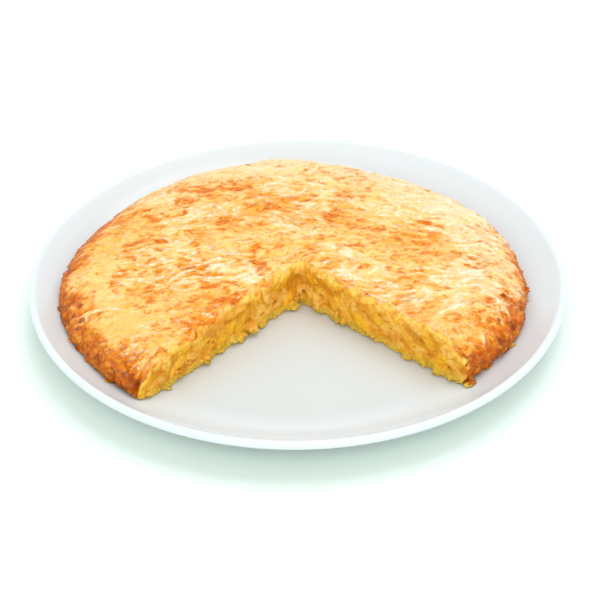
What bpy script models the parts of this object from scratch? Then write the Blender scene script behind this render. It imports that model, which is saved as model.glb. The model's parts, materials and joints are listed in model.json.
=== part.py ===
"""A Spanish omelette with a quarter cut away, lying on its shallow plate.

Metres, +Z up. The origin is the middle of the plate's foot, on the table. The missing
quarter opens towards -Y. The omelette follows the plate's upper surface at a hair's gap.
"""

import math
import random

import bmesh
import bpy
from mathutils import Vector, noise

# Plate: a coupe shape, flat in the middle and curving up to a round lip
PLATE_RADIUS = 0.135
PLATE_THICKNESS = 0.0042
WELL_LEVEL = 0.0075
WELL_RADIUS = 0.100
WALL_RISE = 0.01155
WALL_POWER = 2.2
LIP_SLOPE = math.radians(38.8)
FOOT_RADIUS = 0.0750
FOOT_WIDTH = 0.0050
FOOT_TAPER = 0.0015
FOOT_ROUNDING = 0.0006
PLATE_STEPS = 80
WALL_POINTS = 7
LIP_POINTS = 5

# Omelette, measured from its own centre and up from the plate's well
OMELETTE_CENTRE = (-0.0023, 0.0019)
SEAT_GAP = 0.0003
BASE_RADIUS = 0.1185
CROWN_HEIGHT = 0.0240
SHOULDER_HEIGHT = 0.0205
SHOULDER_WIDTH = 0.028
BELLY_HEIGHT = 0.0050
BASE_TUCK = 0.0014
SEAT_RINGS = (0.1140, 0.1095, 0.1045, 0.0985)
OMELETTE_STEPS = 96
TOP_RINGS = 6
SHOULDER_RINGS = 7

# Where the outline swells or falls in: direction, half width, and how far at the base
# and at the shoulder. Nothing moves inside STEADY_RADIUS, and all of it by FREE_RADIUS.
SWELLS = (
    (math.radians(60), math.radians(56), -0.0035, -0.0120),
    (math.radians(132), math.radians(58), -0.0028, -0.0088),
    (math.radians(186), math.radians(32), 0.0000, 0.0016),
    (math.radians(-44), math.radians(28), -0.0020, -0.0018),
)
STEADY_RADIUS = 0.055
FREE_RADIUS = 0.105

# The back of the top sinks a little, and the outline and the top are uneven: each wave
# is its height and how many there are in a turn or in a metre
BACK_DIRECTION = math.radians(72)
BACK_SINK = 0.0030
BACK_RADIUS = 0.095
OUTLINE_WAVE = (0.0011, 2.6)
FRINGE_WAVE = (0.0009, 9.0)
TOP_WAVE = (0.0007, 45.0)
TOP_WAVE_START = 0.012
TOP_WAVE_FULL = 0.018

# The cut: two knife strokes that meet at the apex, given by their angle from -Y
APEX = (0.0032, -0.0078)
LEFT_STROKE = math.radians(42.2)
RIGHT_STROKE = math.radians(47.0)
APEX_ROUNDING = 0.0030
CUT_HALF_SPAN = 0.092
CUT_FLOOR = -0.004
CUT_CEILING = 0.030
CUT_COLUMNS = 132
CUT_ROWS = 19
CUT_DEPTH = 0.30
FOOT_FLARE = 0.0014
FLARE_POWER = 1.6

# Potato slices that the knife went through, seen end on in the cut: lengths and
# thicknesses are halves, and a slice stands out of the egg between slices
SLICE_SEED = 11
SLICE_SPACING = 0.0021
SLICE_LENGTHS = (0.0045, 0.0098)
SLICE_THICKNESSES = (0.0017, 0.0027)
SLICE_STAND_OUT = (-0.0006, 0.0010)
SLICE_LEAN = math.radians(34)
SLICE_EDGE = (0.72, 1.14)
STEEP_SHARE = 0.22
STEEP_LEAN = math.radians(65)
EGG_RECESS = -0.0011
GOLDEN_STEP = 0.618034
CRUMB_WAVES = ((0.0003, 420.0), (0.0003, 140.0))

# Torn bits of egg and potato along the foot of the cut
FLAKE_SEED = 5
FLAKE_SPACING = (0.0046, 0.0088)
FLAKE_SIZE = (0.0021, 0.0044)
FLAKE_START = 0.008
FLAKE_END = 0.111
FLAKE_LEVEL = (0.0010, 0.0032)
FLAKE_REACH = (0.95, 1.35)
FLAKE_BREADTH = (0.60, 0.95)
FLAKE_HEIGHT = 0.62
FLAKE_SUNK = 0.25
FLAKE_LUMPS = (0.45, 1.5)
FLAKE_TWIST = 0.5
FLAKE_PRESSED = 0.05


def clear_scene():
    """Removes the objects that a new file starts with."""
    for found in list(bpy.data.objects):
        bpy.data.objects.remove(found, do_unlink=True)


def collection_named(name):
    made = bpy.data.collections.new(name)
    bpy.context.scene.collection.children.link(made)
    return made


def material_named(name, colour, roughness):
    made = bpy.data.materials.new(name)
    made.use_nodes = True
    shader = made.node_tree.nodes["Principled BSDF"]
    shader.inputs["Base Color"].default_value = (*colour, 1.0)
    shader.inputs["Roughness"].default_value = roughness
    shader.inputs["Metallic"].default_value = 0.0
    return made


def object_from(name, bm, collection):
    """A mesh object in the collection, made from bm, which is freed."""
    mesh = bpy.data.meshes.new(name)
    bm.to_mesh(mesh)
    bm.free()
    made = bpy.data.objects.new(name, mesh)
    collection.objects.link(made)
    return made


def applied(obj):
    """Replaces the object's mesh with what its modifiers make of it."""
    graph = bpy.context.evaluated_depsgraph_get()
    mesh = bpy.data.meshes.new_from_object(obj.evaluated_get(graph))
    obj.modifiers.clear()
    obj.data = mesh
    return obj


def turned(name, profile, steps, collection):
    """A solid of revolution: profile is a list of (radius, height), from the top of the
    axis round the outside to the bottom of the axis."""
    bm = bmesh.new()
    points = [bm.verts.new((radius, 0.0, height)) for radius, height in profile]
    for start, end in zip(points, points[1:]):
        bm.edges.new((start, end))
    made = object_from(name, bm, collection)
    screw = made.modifiers.new("turn", "SCREW")
    screw.steps = screw.render_steps = steps
    screw.use_merge_vertices = True
    screw.merge_threshold = 0.00001
    screw.use_smooth_shade = True
    return applied(made)


def smooth(share):
    share = min(1.0, max(0.0, share))
    return share * share * (3.0 - 2.0 * share)


# The plate


def lip_start():
    """Radius where the wall's curve ends and the round lip begins."""
    return PLATE_RADIUS - PLATE_THICKNESS / 2 * (1 + math.sin(LIP_SLOPE))


def plate_top(radius):
    """Height of the plate's upper surface above the table."""
    share = max(0.0, (radius - WELL_RADIUS) / (lip_start() - WELL_RADIUS))
    return WELL_LEVEL + WALL_RISE * share**WALL_POWER


def plate_slope(radius):
    """Angle of the plate's upper surface, from level."""
    span = lip_start() - WELL_RADIUS
    share = max(0.0, (radius - WELL_RADIUS) / span)
    return math.atan(WALL_RISE / span * WALL_POWER * share ** (WALL_POWER - 1))


def plate_profile():
    """The plate's section: top, lip, underside and foot."""
    wall = [
        WELL_RADIUS + (lip_start() - WELL_RADIUS) * n / (WALL_POINTS - 1)
        for n in range(WALL_POINTS)
    ]
    top = [(0.0, WELL_LEVEL)] + [(radius, plate_top(radius)) for radius in wall]

    slope = plate_slope(wall[-1])
    half = PLATE_THICKNESS / 2
    middle_radius = wall[-1] + half * math.sin(slope)
    middle_height = top[-1][1] - half * math.cos(slope)
    lip = []
    for n in range(1, LIP_POINTS + 1):
        turn = slope + math.pi / 2 - math.pi * n / (LIP_POINTS + 1)
        radius = middle_radius + half * math.cos(turn)
        lip.append((radius, middle_height + half * math.sin(turn)))

    underside = []
    for radius in reversed(wall):
        slope = plate_slope(radius)
        height = plate_top(radius) - PLATE_THICKNESS * math.cos(slope)
        underside.append((radius + PLATE_THICKNESS * math.sin(slope), height))
    return top + lip + underside + foot_profile()


def foot_profile():
    """The foot ring and the recessed base inside it, from the outside in."""
    under = WELL_LEVEL - PLATE_THICKNESS
    outside = FOOT_RADIUS + FOOT_WIDTH / 2
    inside = FOOT_RADIUS - FOOT_WIDTH / 2
    return [
        (outside + FOOT_TAPER, under),
        (outside, FOOT_ROUNDING),
        (outside - FOOT_ROUNDING, 0.0),
        (inside + FOOT_ROUNDING, 0.0),
        (inside, FOOT_ROUNDING),
        (inside - FOOT_TAPER, under),
        (0.0, under),
    ]


def build_plate(collection, material):
    plate = turned("plate", plate_profile(), PLATE_STEPS, collection)
    plate.data.materials.append(material)
    plate.data.set_sharp_from_angle(angle=math.radians(40))
    return plate


# The omelette's skin


def omelette_profile():
    """Section of the whole omelette, before it is made uneven."""
    shoulder = BASE_RADIUS - SHOULDER_WIDTH
    profile = []
    for n in range(TOP_RINGS):
        share = n / TOP_RINGS
        fall = (CROWN_HEIGHT - SHOULDER_HEIGHT) * share**2
        profile.append((shoulder * share, CROWN_HEIGHT - fall))
    for n in range(SHOULDER_RINGS + 1):
        turn = math.pi / 2 * n / SHOULDER_RINGS
        height = BELLY_HEIGHT + (SHOULDER_HEIGHT - BELLY_HEIGHT) * math.cos(turn)
        profile.append((shoulder + SHOULDER_WIDTH * math.sin(turn), height))
    profile.append((BASE_RADIUS - BASE_TUCK / 3, BELLY_HEIGHT * 2 / 3))
    profile.append((BASE_RADIUS - BASE_TUCK, BELLY_HEIGHT / 3))
    for radius in SEAT_RINGS:
        profile.append((radius, 0.0))
    profile.append((0.0, 0.0))
    return profile


def swell(angle, rise):
    """How far the side stands out at this direction; rise is 0 at the base, 1 on top."""
    total = 0.0
    for direction, half_width, at_base, at_shoulder in SWELLS:
        away = abs(math.remainder(angle - direction, math.tau)) / half_width
        if away < 1.0:
            share = 0.5 + 0.5 * math.cos(math.pi * away)
            total += share * (at_base + (at_shoulder - at_base) * rise)
    return total


def seat_height(x, y):
    """Lowest height for the omelette at a place in its own frame: the plate and a gap."""
    radius = math.hypot(x + OMELETTE_CENTRE[0], y + OMELETTE_CENTRE[1])
    return plate_top(radius) - WELL_LEVEL + SEAT_GAP


def uneven(point):
    """The place of a turned point on the real, hand-made shape."""
    radius = math.hypot(point.x, point.y)
    if radius == 0.0:
        return Vector((0.0, 0.0, max(point.z, SEAT_GAP)))
    angle = math.atan2(point.y, point.x)
    rise = min(1.0, point.z / SHOULDER_HEIGHT)
    freedom = smooth((radius - STEADY_RADIUS) / (FREE_RADIUS - STEADY_RADIUS))
    direction = Vector((math.cos(angle), math.sin(angle), 0.0))

    size, count = OUTLINE_WAVE
    wobble = size * noise.noise(direction * count)
    size, count = FRINGE_WAVE
    wobble += size * noise.noise(direction * count) * (1 - rise)
    moved = radius + freedom * (swell(angle, rise) + wobble)

    towards_back = max(0.0, math.cos(angle - BACK_DIRECTION)) ** 2
    height = point.z - rise * towards_back * BACK_SINK * smooth(radius / BACK_RADIUS)
    size, count = TOP_WAVE
    on_top = smooth((point.z - TOP_WAVE_START) / (TOP_WAVE_FULL - TOP_WAVE_START))
    height += size * on_top * noise.noise(Vector((point.x, point.y, 0.0)) * count)

    x, y = direction.x * moved, direction.y * moved
    return Vector((x, y, max(height, seat_height(x, y))))


def build_body(collection):
    """The whole omelette, before the cut."""
    body = turned("omelette", omelette_profile(), OMELETTE_STEPS, collection)
    for vertex in body.data.vertices:
        vertex.co = uneven(vertex.co)
    return body


# The cut and what shows in it


def cut_along(x):
    """Distance from the apex along the cut at this x: negative on the left face."""
    across = x - APEX[0]
    return across / math.sin(LEFT_STROKE if across < 0 else RIGHT_STROKE)


def cut_point(along):
    """Point of the knife's plane and the way that it faces, seen from above."""
    stroke = LEFT_STROKE if along < 0 else RIGHT_STROKE
    side = -1.0 if along < 0 else 1.0
    reach = math.hypot(along, APEX_ROUNDING)
    point = Vector((APEX[0] + along * math.sin(stroke), APEX[1] - reach * math.cos(stroke)))
    return point, Vector((-side * math.cos(stroke), -math.sin(stroke)))


def potato_slices():
    """The slices' sections: (along, up, half length, half thickness, lean, stand out)."""
    draw = random.Random(SLICE_SEED)
    slices = []
    start = cut_along(APEX[0] - CUT_HALF_SPAN)
    count = int((cut_along(APEX[0] + CUT_HALF_SPAN) - start) / SLICE_SPACING)
    for n in range(count):
        along = start + (n + draw.uniform(-0.5, 0.5)) * SLICE_SPACING
        up = CROWN_HEIGHT * ((n * GOLDEN_STEP + draw.uniform(0, 0.12)) % 1.0)
        lean = draw.gauss(0, SLICE_LEAN)
        if draw.random() < STEEP_SHARE:
            lean += STEEP_LEAN
        half_length = draw.uniform(*SLICE_LENGTHS)
        half_thickness = draw.uniform(*SLICE_THICKNESSES)
        stand_out = draw.uniform(*SLICE_STAND_OUT)
        slices.append((along, up, half_length, half_thickness, lean, stand_out))
    return slices


def cut_relief(along, up, slices):
    """How far the cut's surface stands out of the knife's plane."""
    level = EGG_RECESS
    inner, outer = SLICE_EDGE
    for middle, centre, half_length, half_thickness, lean, stand_out in slices:
        if abs(along - middle) > half_length * outer:
            continue
        lengthwise = (along - middle) * math.cos(lean) + (up - centre) * math.sin(lean)
        through = (up - centre) * math.cos(lean) - (along - middle) * math.sin(lean)
        reach = math.hypot(lengthwise / half_length, through / half_thickness)
        edge = smooth((reach - inner) / (outer - inner))
        level = max(level, stand_out + (EGG_RECESS - stand_out) * edge)
    for size, count in CRUMB_WAVES:
        level += size * noise.noise(Vector((along, up, size)) * count)
    low = max(0.0, 1.0 - up / SHOULDER_HEIGHT)
    return level + FOOT_FLARE * low**FLARE_POWER


def build_knife(collection, slices):
    """The missing quarter as a cutter, with the slices' relief on its two faces. The
    relief moves points along Y only, so the two faces never cross."""
    bm = bmesh.new()
    bmesh.ops.create_grid(bm, x_segments=CUT_COLUMNS, y_segments=CUT_ROWS, size=1.0)
    for vertex in bm.verts:
        x = APEX[0] + vertex.co.x * CUT_HALF_SPAN
        up = CUT_FLOOR + (vertex.co.y + 1) / 2 * (CUT_CEILING - CUT_FLOOR)
        along = cut_along(x)
        point, normal = cut_point(along)
        relief = cut_relief(along, up, slices)
        vertex.co = Vector((x, point.y + relief / normal.y, up))
    made = bmesh.ops.extrude_face_region(bm, geom=list(bm.faces), use_keep_orig=True)
    far_side = [v for v in made["geom"] if isinstance(v, bmesh.types.BMVert)]
    bmesh.ops.translate(bm, verts=far_side, vec=(0.0, -CUT_DEPTH, 0.0))
    bmesh.ops.recalc_face_normals(bm, faces=list(bm.faces))
    knife = object_from("knife", bm, collection)
    knife.hide_render = True
    knife.display_type = "WIRE"
    return knife


def flake_mesh(draw, centre, level, facing, shift):
    """A torn lump that reaches out over the plate and never dips into it."""
    bm = bmesh.new()
    bmesh.ops.create_icosphere(bm, subdivisions=2, radius=draw.uniform(*FLAKE_SIZE))
    turn = facing + draw.uniform(-FLAKE_TWIST, FLAKE_TWIST)
    reach, breadth = draw.uniform(*FLAKE_REACH), draw.uniform(*FLAKE_BREADTH)
    depth, count = FLAKE_LUMPS
    for vertex in bm.verts:
        lump = vertex.co * (1 + depth * noise.noise(vertex.co.normalized() * count + shift))
        out, across = lump.x * reach, lump.y * breadth
        x = centre.x + out * math.cos(turn) - across * math.sin(turn)
        y = centre.y + out * math.sin(turn) + across * math.cos(turn)
        z = level + lump.z * FLAKE_HEIGHT
        lowest = seat_height(x, y) + SEAT_GAP
        vertex.co = Vector((x, y, max(z, lowest + FLAKE_PRESSED * (z - lowest))))
    return bm


def build_flakes(collection, slices):
    """Torn lumps along the foot of both faces of the cut."""
    draw = random.Random(FLAKE_SEED)
    for side in (-1, 1):
        along = FLAKE_START
        while along < FLAKE_END:
            level = draw.uniform(*FLAKE_LEVEL)
            point, normal = cut_point(side * along)
            sunk = FLAKE_SUNK * FLAKE_SIZE[1]
            centre = point + normal * (cut_relief(side * along, level, slices) - sunk)
            facing = math.atan2(normal.y, normal.x)
            shift = Vector((along / FLAKE_SIZE[1], side, 0.0))
            flake = flake_mesh(draw, centre, level, facing, shift)
            object_from("flake", flake, collection)
            along += draw.uniform(*FLAKE_SPACING)


def build_omelette(collection, material):
    """The cut omelette, with its flakes, as one solid."""
    knives = collection_named("cutters")
    flakes = collection_named("flakes")
    slices = potato_slices()
    omelette = build_body(collection)
    cut = omelette.modifiers.new("missing quarter", "BOOLEAN")
    cut.operation = "DIFFERENCE"
    cut.object = build_knife(knives, slices)
    applied(omelette)

    build_flakes(flakes, slices)
    join = omelette.modifiers.new("torn flakes", "BOOLEAN")
    join.operation = "UNION"
    join.operand_type = "COLLECTION"
    join.collection = flakes
    join.solver = "MANIFOLD"
    applied(omelette)
    for flake in list(flakes.objects):
        bpy.data.objects.remove(flake, do_unlink=True)
    bpy.data.collections.remove(flakes)

    omelette.data.materials.clear()
    omelette.data.materials.append(material)
    omelette.location = (*OMELETTE_CENTRE, WELL_LEVEL)
    return omelette


def main():
    clear_scene()
    pieces = collection_named("spanish_omelette")
    porcelain = material_named("white_porcelain", (0.86, 0.87, 0.85), 0.18)
    egg = material_named("browned_egg", (0.86, 0.50, 0.14), 0.45)

    serving = bpy.data.objects.new("serving", None)
    pieces.objects.link(serving)
    for piece in (build_plate(pieces, porcelain), build_omelette(pieces, egg)):
        piece.parent = serving


if __name__ == "__main__":
    main()
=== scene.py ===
"""The finished surfaces of a Spanish omelette on its plate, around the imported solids.

Metres, +Z up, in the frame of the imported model. The missing quarter opens towards -Y.
"""

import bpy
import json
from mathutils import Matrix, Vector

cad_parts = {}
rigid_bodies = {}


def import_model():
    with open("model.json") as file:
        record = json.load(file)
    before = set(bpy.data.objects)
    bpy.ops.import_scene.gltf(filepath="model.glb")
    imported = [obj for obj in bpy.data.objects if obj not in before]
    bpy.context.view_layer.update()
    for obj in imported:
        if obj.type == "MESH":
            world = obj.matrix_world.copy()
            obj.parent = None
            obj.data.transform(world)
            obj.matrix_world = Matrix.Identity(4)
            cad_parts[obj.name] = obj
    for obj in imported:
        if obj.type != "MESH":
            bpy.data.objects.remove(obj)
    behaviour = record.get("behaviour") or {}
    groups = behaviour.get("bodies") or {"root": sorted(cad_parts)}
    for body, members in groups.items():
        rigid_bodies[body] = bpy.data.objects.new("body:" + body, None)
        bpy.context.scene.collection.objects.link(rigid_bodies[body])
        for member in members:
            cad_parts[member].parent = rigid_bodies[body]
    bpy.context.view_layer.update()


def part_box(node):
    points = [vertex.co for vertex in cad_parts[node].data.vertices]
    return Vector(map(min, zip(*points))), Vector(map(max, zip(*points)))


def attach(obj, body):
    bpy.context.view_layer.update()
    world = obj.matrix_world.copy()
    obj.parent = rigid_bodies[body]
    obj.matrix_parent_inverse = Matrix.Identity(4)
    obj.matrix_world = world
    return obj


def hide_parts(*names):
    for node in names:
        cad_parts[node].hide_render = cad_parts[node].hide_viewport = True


bl_info = {
    "name": "Spanish Omelette on a Plate",
    "version": (1, 0, 0),
    "blender": (4, 5, 0),
    "location": "3D View > Sidebar > Omelette",
    "description": "Makes a browned potato omelette with a quarter cut away, on its plate",
    "category": "Add Mesh",
}

import itertools
import json
import math
import random

import bmesh
import bpy
import numpy as np
from bpy.props import FloatProperty, FloatVectorProperty, IntProperty, PointerProperty
from mathutils import Matrix, Vector, noise

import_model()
PLATE_LOW, PLATE_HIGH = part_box("plate")
OMELETTE_LOW, OMELETTE_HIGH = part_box("omelette")
BODY = "root"

# Plate: the same section as its solid, turned finer
PLATE_RADIUS = 0.135
PLATE_THICKNESS = 0.0042
WELL_LEVEL = 0.0075
WELL_RADIUS = 0.100
WALL_RISE = 0.01155
WALL_POWER = 2.2
LIP_SLOPE = math.radians(38.8)
FOOT_RADIUS = 0.0750
FOOT_WIDTH = 0.0050
FOOT_TAPER = 0.0015
FOOT_ROUNDING = 0.0006
PLATE_STEPS = 256
WALL_POINTS = 28
LIP_POINTS = 14
SHARP_ANGLE = math.radians(40)

# Omelette, measured from its own centre and up from the plate's well
OMELETTE_CENTRE = (-0.0023, 0.0019)
SEAT_GAP = 0.0003
BASE_RADIUS = 0.1185
CROWN_HEIGHT = 0.0240
SHOULDER_HEIGHT = 0.0205
SHOULDER_WIDTH = 0.028
SHOULDER_ARC = 1.22
BELLY_HEIGHT = 0.0050
BELLY_FALL = 2 / 3
BASE_TUCK = 0.0014
TUCK_POWER = 1.6
SEAT_RINGS = (0.1140, 0.1095, 0.1045, 0.0985, 0.0900)
SKIN_GRID = 276

# Where the outline swells or falls in: direction, half width, and how far at the base
# and at the shoulder
SWELLS = (
    (math.radians(60), math.radians(56), -0.0040, -0.0128),
    (math.radians(138), math.radians(54), -0.0044, -0.0108),
    (math.radians(110), math.radians(19), 0.0, -0.0032),
    (math.radians(186), math.radians(32), 0.0000, 0.0010),
    (math.radians(14), math.radians(34), -0.0016, -0.0020),
    (math.radians(-44), math.radians(24), -0.0034, 0.0016),
)
# Where the top stands higher: direction, half width, radius, its half width, height
LIFTS = (
    (math.radians(-40), math.radians(34), 0.101, 0.030, 0.0024),
    (math.radians(-136), math.radians(20), 0.104, 0.024, 0.0008),
)
STEADY_RADIUS = 0.055
FREE_RADIUS = 0.105
BACK_DIRECTION = math.radians(72)
BACK_SINK = 0.0030
BACK_RADIUS = 0.095
OUTLINE_WAVE = (0.0011, 2.6)
FRINGE_WAVE = (0.0009, 9.0)
TOP_WAVE = (0.0007, 45.0)
TOP_WAVE_START = 0.012
TOP_WAVE_FULL = 0.018

# The cut: two knife strokes that meet at the apex, given by their angle from -Y
APEX = (0.0032, -0.0078)
LEFT_STROKE = math.radians(42.2)
RIGHT_STROKE = math.radians(47.0)
APEX_ROUNDING = 0.0030
CUT_HALF_SPAN = 0.092
CUT_FLOOR = -0.004
CUT_CEILING = 0.032
CUT_COLUMNS = 480
CUT_ROWS = 76
CUT_DEPTH = 0.30
FOOT_FLARE = 0.0009
FLARE_POWER = 1.6
CUT_TOLERANCE = 0.00025

# Potato slices that the knife went through, seen end on in the cut
SLICE_SEED = 11
SLICE_SPACING = 0.0026
SLICE_SCATTER = 0.12
SLICE_LENGTHS = (0.0040, 0.0080)
SLICE_THICKNESSES = (0.0021, 0.0038)
SLICE_STAND_OUT = (-0.0006, 0.0010)
SLICE_LEAN = math.radians(34)
SLICE_EDGE = (0.45, 1.25)
CROSS_TILT = 2.0
FAR_FROM_SLICES = 9.0
GAP_START = 0.80
GAP_SPAN = 0.45
STEEP_SHARE = 0.22
STEEP_LEAN = math.radians(65)
EGG_RECESS = -0.0011
EGG_TONE = 0.3
GOLDEN_STEP = 0.618034

# More of the cut: a flake folded out, a lobe and a hollow at the apex, small holes, and
# the smooth strip under the skin with its rounded edge
FOLDED_FLAKE = (0.0410, 0.0068, 0.0076, 0.0034, math.radians(-20), 0.0048)
APEX_LOBE = (-0.0070, 0.0058, 0.0062, 0.0032, math.radians(20), 0.0042)
HOLLOW = (-0.0035, 0.0130, 0.0062, 0.0042)
HOLLOW_DEPTH = 0.0024
APEX_PIT = (0.0030, 0.0066, 0.0013, 0.0022)
HOLE_SEED = 17
HOLE_COUNT = 26
HOLE_START = 0.008
HOLE_REACH = 0.090
HOLE_LEVEL = (0.005, 0.016)
HOLE_RADIUS = (0.0004, 0.0010)
HOLE_STRETCH = 1.5
HOLE_DEPTH = (0.0012, 0.0022)
SLICE_WANDER = (130.0, 0.0014)
CRUMB_WAVES = ((0.00070, 100.0), (0.00042, 230.0), (0.00052, 430.0))
SLICE_CONTRAST = 0.36
SLICE_MIDDLE = -0.0002
# How far the skin's colours reach down the cut: distance along it, depth
SKIN_ALONG = (-0.110, -0.012, 0.0, 0.012, 0.110)
SKIN_DEPTH = (0.0030, 0.0026, -0.0014, 0.0004, 0.0010)
SKIN_SOFTNESS = 0.0046
SKIN_RAGGED = (150.0, 0.0036)
STRIP_WIDTH = (0.0078, 0.0058)
STRIP_RELIEF = -0.0002
STRIP_RAGGED = (170.0, 0.0024)
STRIP_SMOOTHNESS = 0.15
EDGE_DROP = 0.0052
EDGE_ROUNDING = (0.0032, 0.0025)

# Torn bits of egg and potato along the foot of the cut, and how every torn bit is shaped
FLAKE_SEED = 5
FLAKE_SPACING = (0.0026, 0.0120)
FLAKE_SIZE = (0.0013, 0.0045)
FLAKE_SIZE_POWER = 1.5
FLAKE_DETAIL = 3
FLAKE_START = 0.008
FLAKE_END = 0.111
FLAKE_LEVEL = (0.0010, 0.0032)
FLAKE_REACH = (0.75, 1.20)
FLAKE_BREADTH = (0.65, 1.15)
FLAKE_HEIGHT = 0.72
FLAKE_SUNK = 0.34
FLAKE_LUMPS = (0.60, 1.7)
FLAKE_CRAGS = (0.34, 3.8)
FLAKE_TWIST = 0.5
FLAKE_PRESSED = 0.05

# Height up to which the side is browned, by direction in degrees
SIDE_LEVELS = {
    -50: 0.0175,
    -30: 0.0170,
    -5: 0.0150,
    20: 0.0115,
    50: 0.0080,
    115: 0.0080,
    148: 0.0130,
    166: 0.0185,
    185: 0.0170,
    210: 0.0175,
    235: 0.0185,
}
SIDE_SOFTNESS = 0.014

# Zones of the colours, as a place and the distance over which they fade: up from the foot
# of the cut, up from the foot of the flecks, and out towards the rim of the top
FOOT_ZONE = (0.0070, 0.0060)
FLECK_ZONE = (0.0060, 0.0050)
RIM_ZONE = (0.076, 0.014)
# Where the skin gets a painted highlight along its far right rim: the zone out towards the rim,
# its direction and how far round it spreads
RIM_HIGHLIGHT_ZONE = (0.070, 0.025)
RIM_HIGHLIGHT_DIRECTION = math.radians(55)
RIM_HIGHLIGHT_SPREAD = 0.2

# Small flecks of their own, along the foot of the cut and round the base
FLECK_SEED = 23
FLECK_SIZE = (0.0006, 0.0017)
FLECK_GAPS = (0.0015, 0.0085)
FLECK_START = 0.004
FLECK_LEVEL = (0.0008, 0.0046)
FRINGE_SIZE = (0.0012, 0.0030)
FRINGE_STEPS = (0.050, 0.170)
FRINGE_LEVEL = (0.0012, 0.0060)
FRINGE_SUNK = 0.0022
FRINGE_FLECK_STEPS = (0.09, 0.42)
# Where the noise of each knob and of each fleck is read, by its number
KNOB_SHIFT = (1.3, 2.0, 9.0)
FLECK_SHIFT = (1.7, 0.3, 5.0)

# Relief of the skin. Wrinkles run from left to right on top and bow with the far edge, and
# folds run down the side. A row of ridges is the stretch of its noise, sharpness and power
WRINKLE_BOW = 2.4
BOW_ZONE = (-0.05, 0.09)
WRINKLE_WANDER = (50.0, 0.0045)
LONG_FOLDS = ((62.0, 165.0, 120.0), 2.1, 1.3)
SHORT_FOLDS = ((200.0, 320.0, 220.0), 1.6, 1.4)
CALM_SCALE = 30.0
CALM_SHARE = 0.25
CALM_CONTRAST = 1.5
CREST_SHARE = 0.5
FOLD_CREST = 1.1
DENTS = (50.0, 70.0, 70.0)
TOP_FACING = (0.45, 0.4)
SIDE_TWIST = (60.0, 0.12)
SIDE_FOLDS = ((9.0, 9.0, 120.0), 0.62)
PLEATS = ((13.0, 13.0, 150.0), 1.7, 1.3)
RELIEF_START = (0.0012, 0.002)
# How much of long folds, short folds and dents is on top, and of folds and pleats on the
# side, each with the level that they start from
TOP_SHARES = (0.9, 0.45, 0.7, -0.5)
SIDE_SHARES = (0.9, 0.5, -0.6)

# Folds of the skin that show: from and to in the omelette's own frame, half width, height
FOLDS = (
    (0.0679, -0.0531, 0.0858, -0.0409, 0.0016, 0.0014),
    (0.0816, -0.0179, 0.0998, -0.0089, 0.0015, 0.0012),
    (0.0838, 0.0101, 0.1008, 0.0111, 0.0016, 0.0011),
    (0.0936, -0.0319, 0.1063, -0.0439, 0.0014, 0.0013),
    (0.0891, -0.0609, 0.0928, -0.0709, 0.0013, 0.0013),
    (-0.0922, -0.0394, -0.0767, -0.0439, 0.0011, 0.0007),
)
FOLD_WANDER = (90.0, 0.0013)
FOLD_END = 1.3

# Singed spots: place in the omelette's own frame and radius
SINGED_SPOTS = (
    (0.1036, -0.0299, 0.0175, 0.0015),
    (0.1118, -0.0329, 0.0110, 0.0017),
    (0.1075, -0.0464, 0.0097, 0.0020),
    (0.0995, -0.0596, 0.0105, 0.0016),
    (0.0993, -0.0500, 0.0165, 0.0015),
    (0.1068, -0.0359, 0.0147, 0.0011),
    (-0.1033, -0.0440, 0.0146, 0.0021),
    (-0.1043, -0.0337, 0.0161, 0.0015),
    (-0.1117, -0.0129, 0.0115, 0.0015),
    (-0.1097, 0.0041, 0.0115, 0.0014),
    (-0.0807, -0.0839, 0.0055, 0.0016),
    (-0.0244, 0.1005, 0.0145, 0.0015),
)
SINGED_WANDER = (260.0, 0.0010)
SINGED_SHAPE = (1.0, 1.0, 0.6)

# Browned patches on top: x, y, half length, half width, strength
BROWNED_PATCHES = (
    (-0.0785, 0.0473, 0.0080, 0.0026, 1.2),
    (-0.0703, 0.0404, 0.0050, 0.0040, 0.9),
    (-0.0574, 0.0421, 0.0036, 0.0070, 1.1),
    (-0.0564, 0.0556, 0.0060, 0.0030, 1.2),
    (-0.0473, 0.0673, 0.0140, 0.0048, 1.0),
    (-0.0319, 0.0680, 0.0080, 0.0036, 0.8),
    (-0.0842, 0.0144, 0.0050, 0.0030, 1.2),
    (-0.0720, 0.0150, 0.0130, 0.0022, 0.9),
    (-0.0875, -0.0116, 0.0042, 0.0030, 1.2),
    (-0.0872, -0.0229, 0.0036, 0.0060, 1.1),
    (-0.0180, 0.0040, 0.0030, 0.0042, 1.1),
    (-0.0178, -0.0100, 0.0036, 0.0060, 1.1),
    (-0.0311, -0.0377, 0.0080, 0.0026, 1.1),
    (-0.0357, 0.0292, 0.0050, 0.0040, 0.8),
    (-0.0388, -0.0256, 0.0060, 0.0026, 0.9),
    (-0.0511, -0.0114, 0.0070, 0.0030, 0.9),
    (0.0304, 0.0587, 0.0062, 0.0030, 1.2),
    (0.0210, 0.0350, 0.0034, 0.0095, 1.0),
    (0.0040, 0.0543, 0.0090, 0.0030, 0.7),
    (-0.0127, 0.0459, 0.0050, 0.0040, 0.8),
    (0.0438, 0.0229, 0.0072, 0.0060, 0.6),
    (0.0341, 0.0074, 0.0110, 0.0026, 0.8),
    (0.0683, 0.0318, 0.0036, 0.0024, 1.1),
    (0.0866, 0.0000, 0.0060, 0.0048, 1.0),
    (0.0909, -0.0090, 0.0050, 0.0050, 1.0),
    (0.0576, -0.0267, 0.0060, 0.0020, 0.9),
    (0.0956, -0.0419, 0.0062, 0.0050, 0.9),
    (0.0851, -0.0517, 0.0070, 0.0034, 0.8),
)

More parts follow.
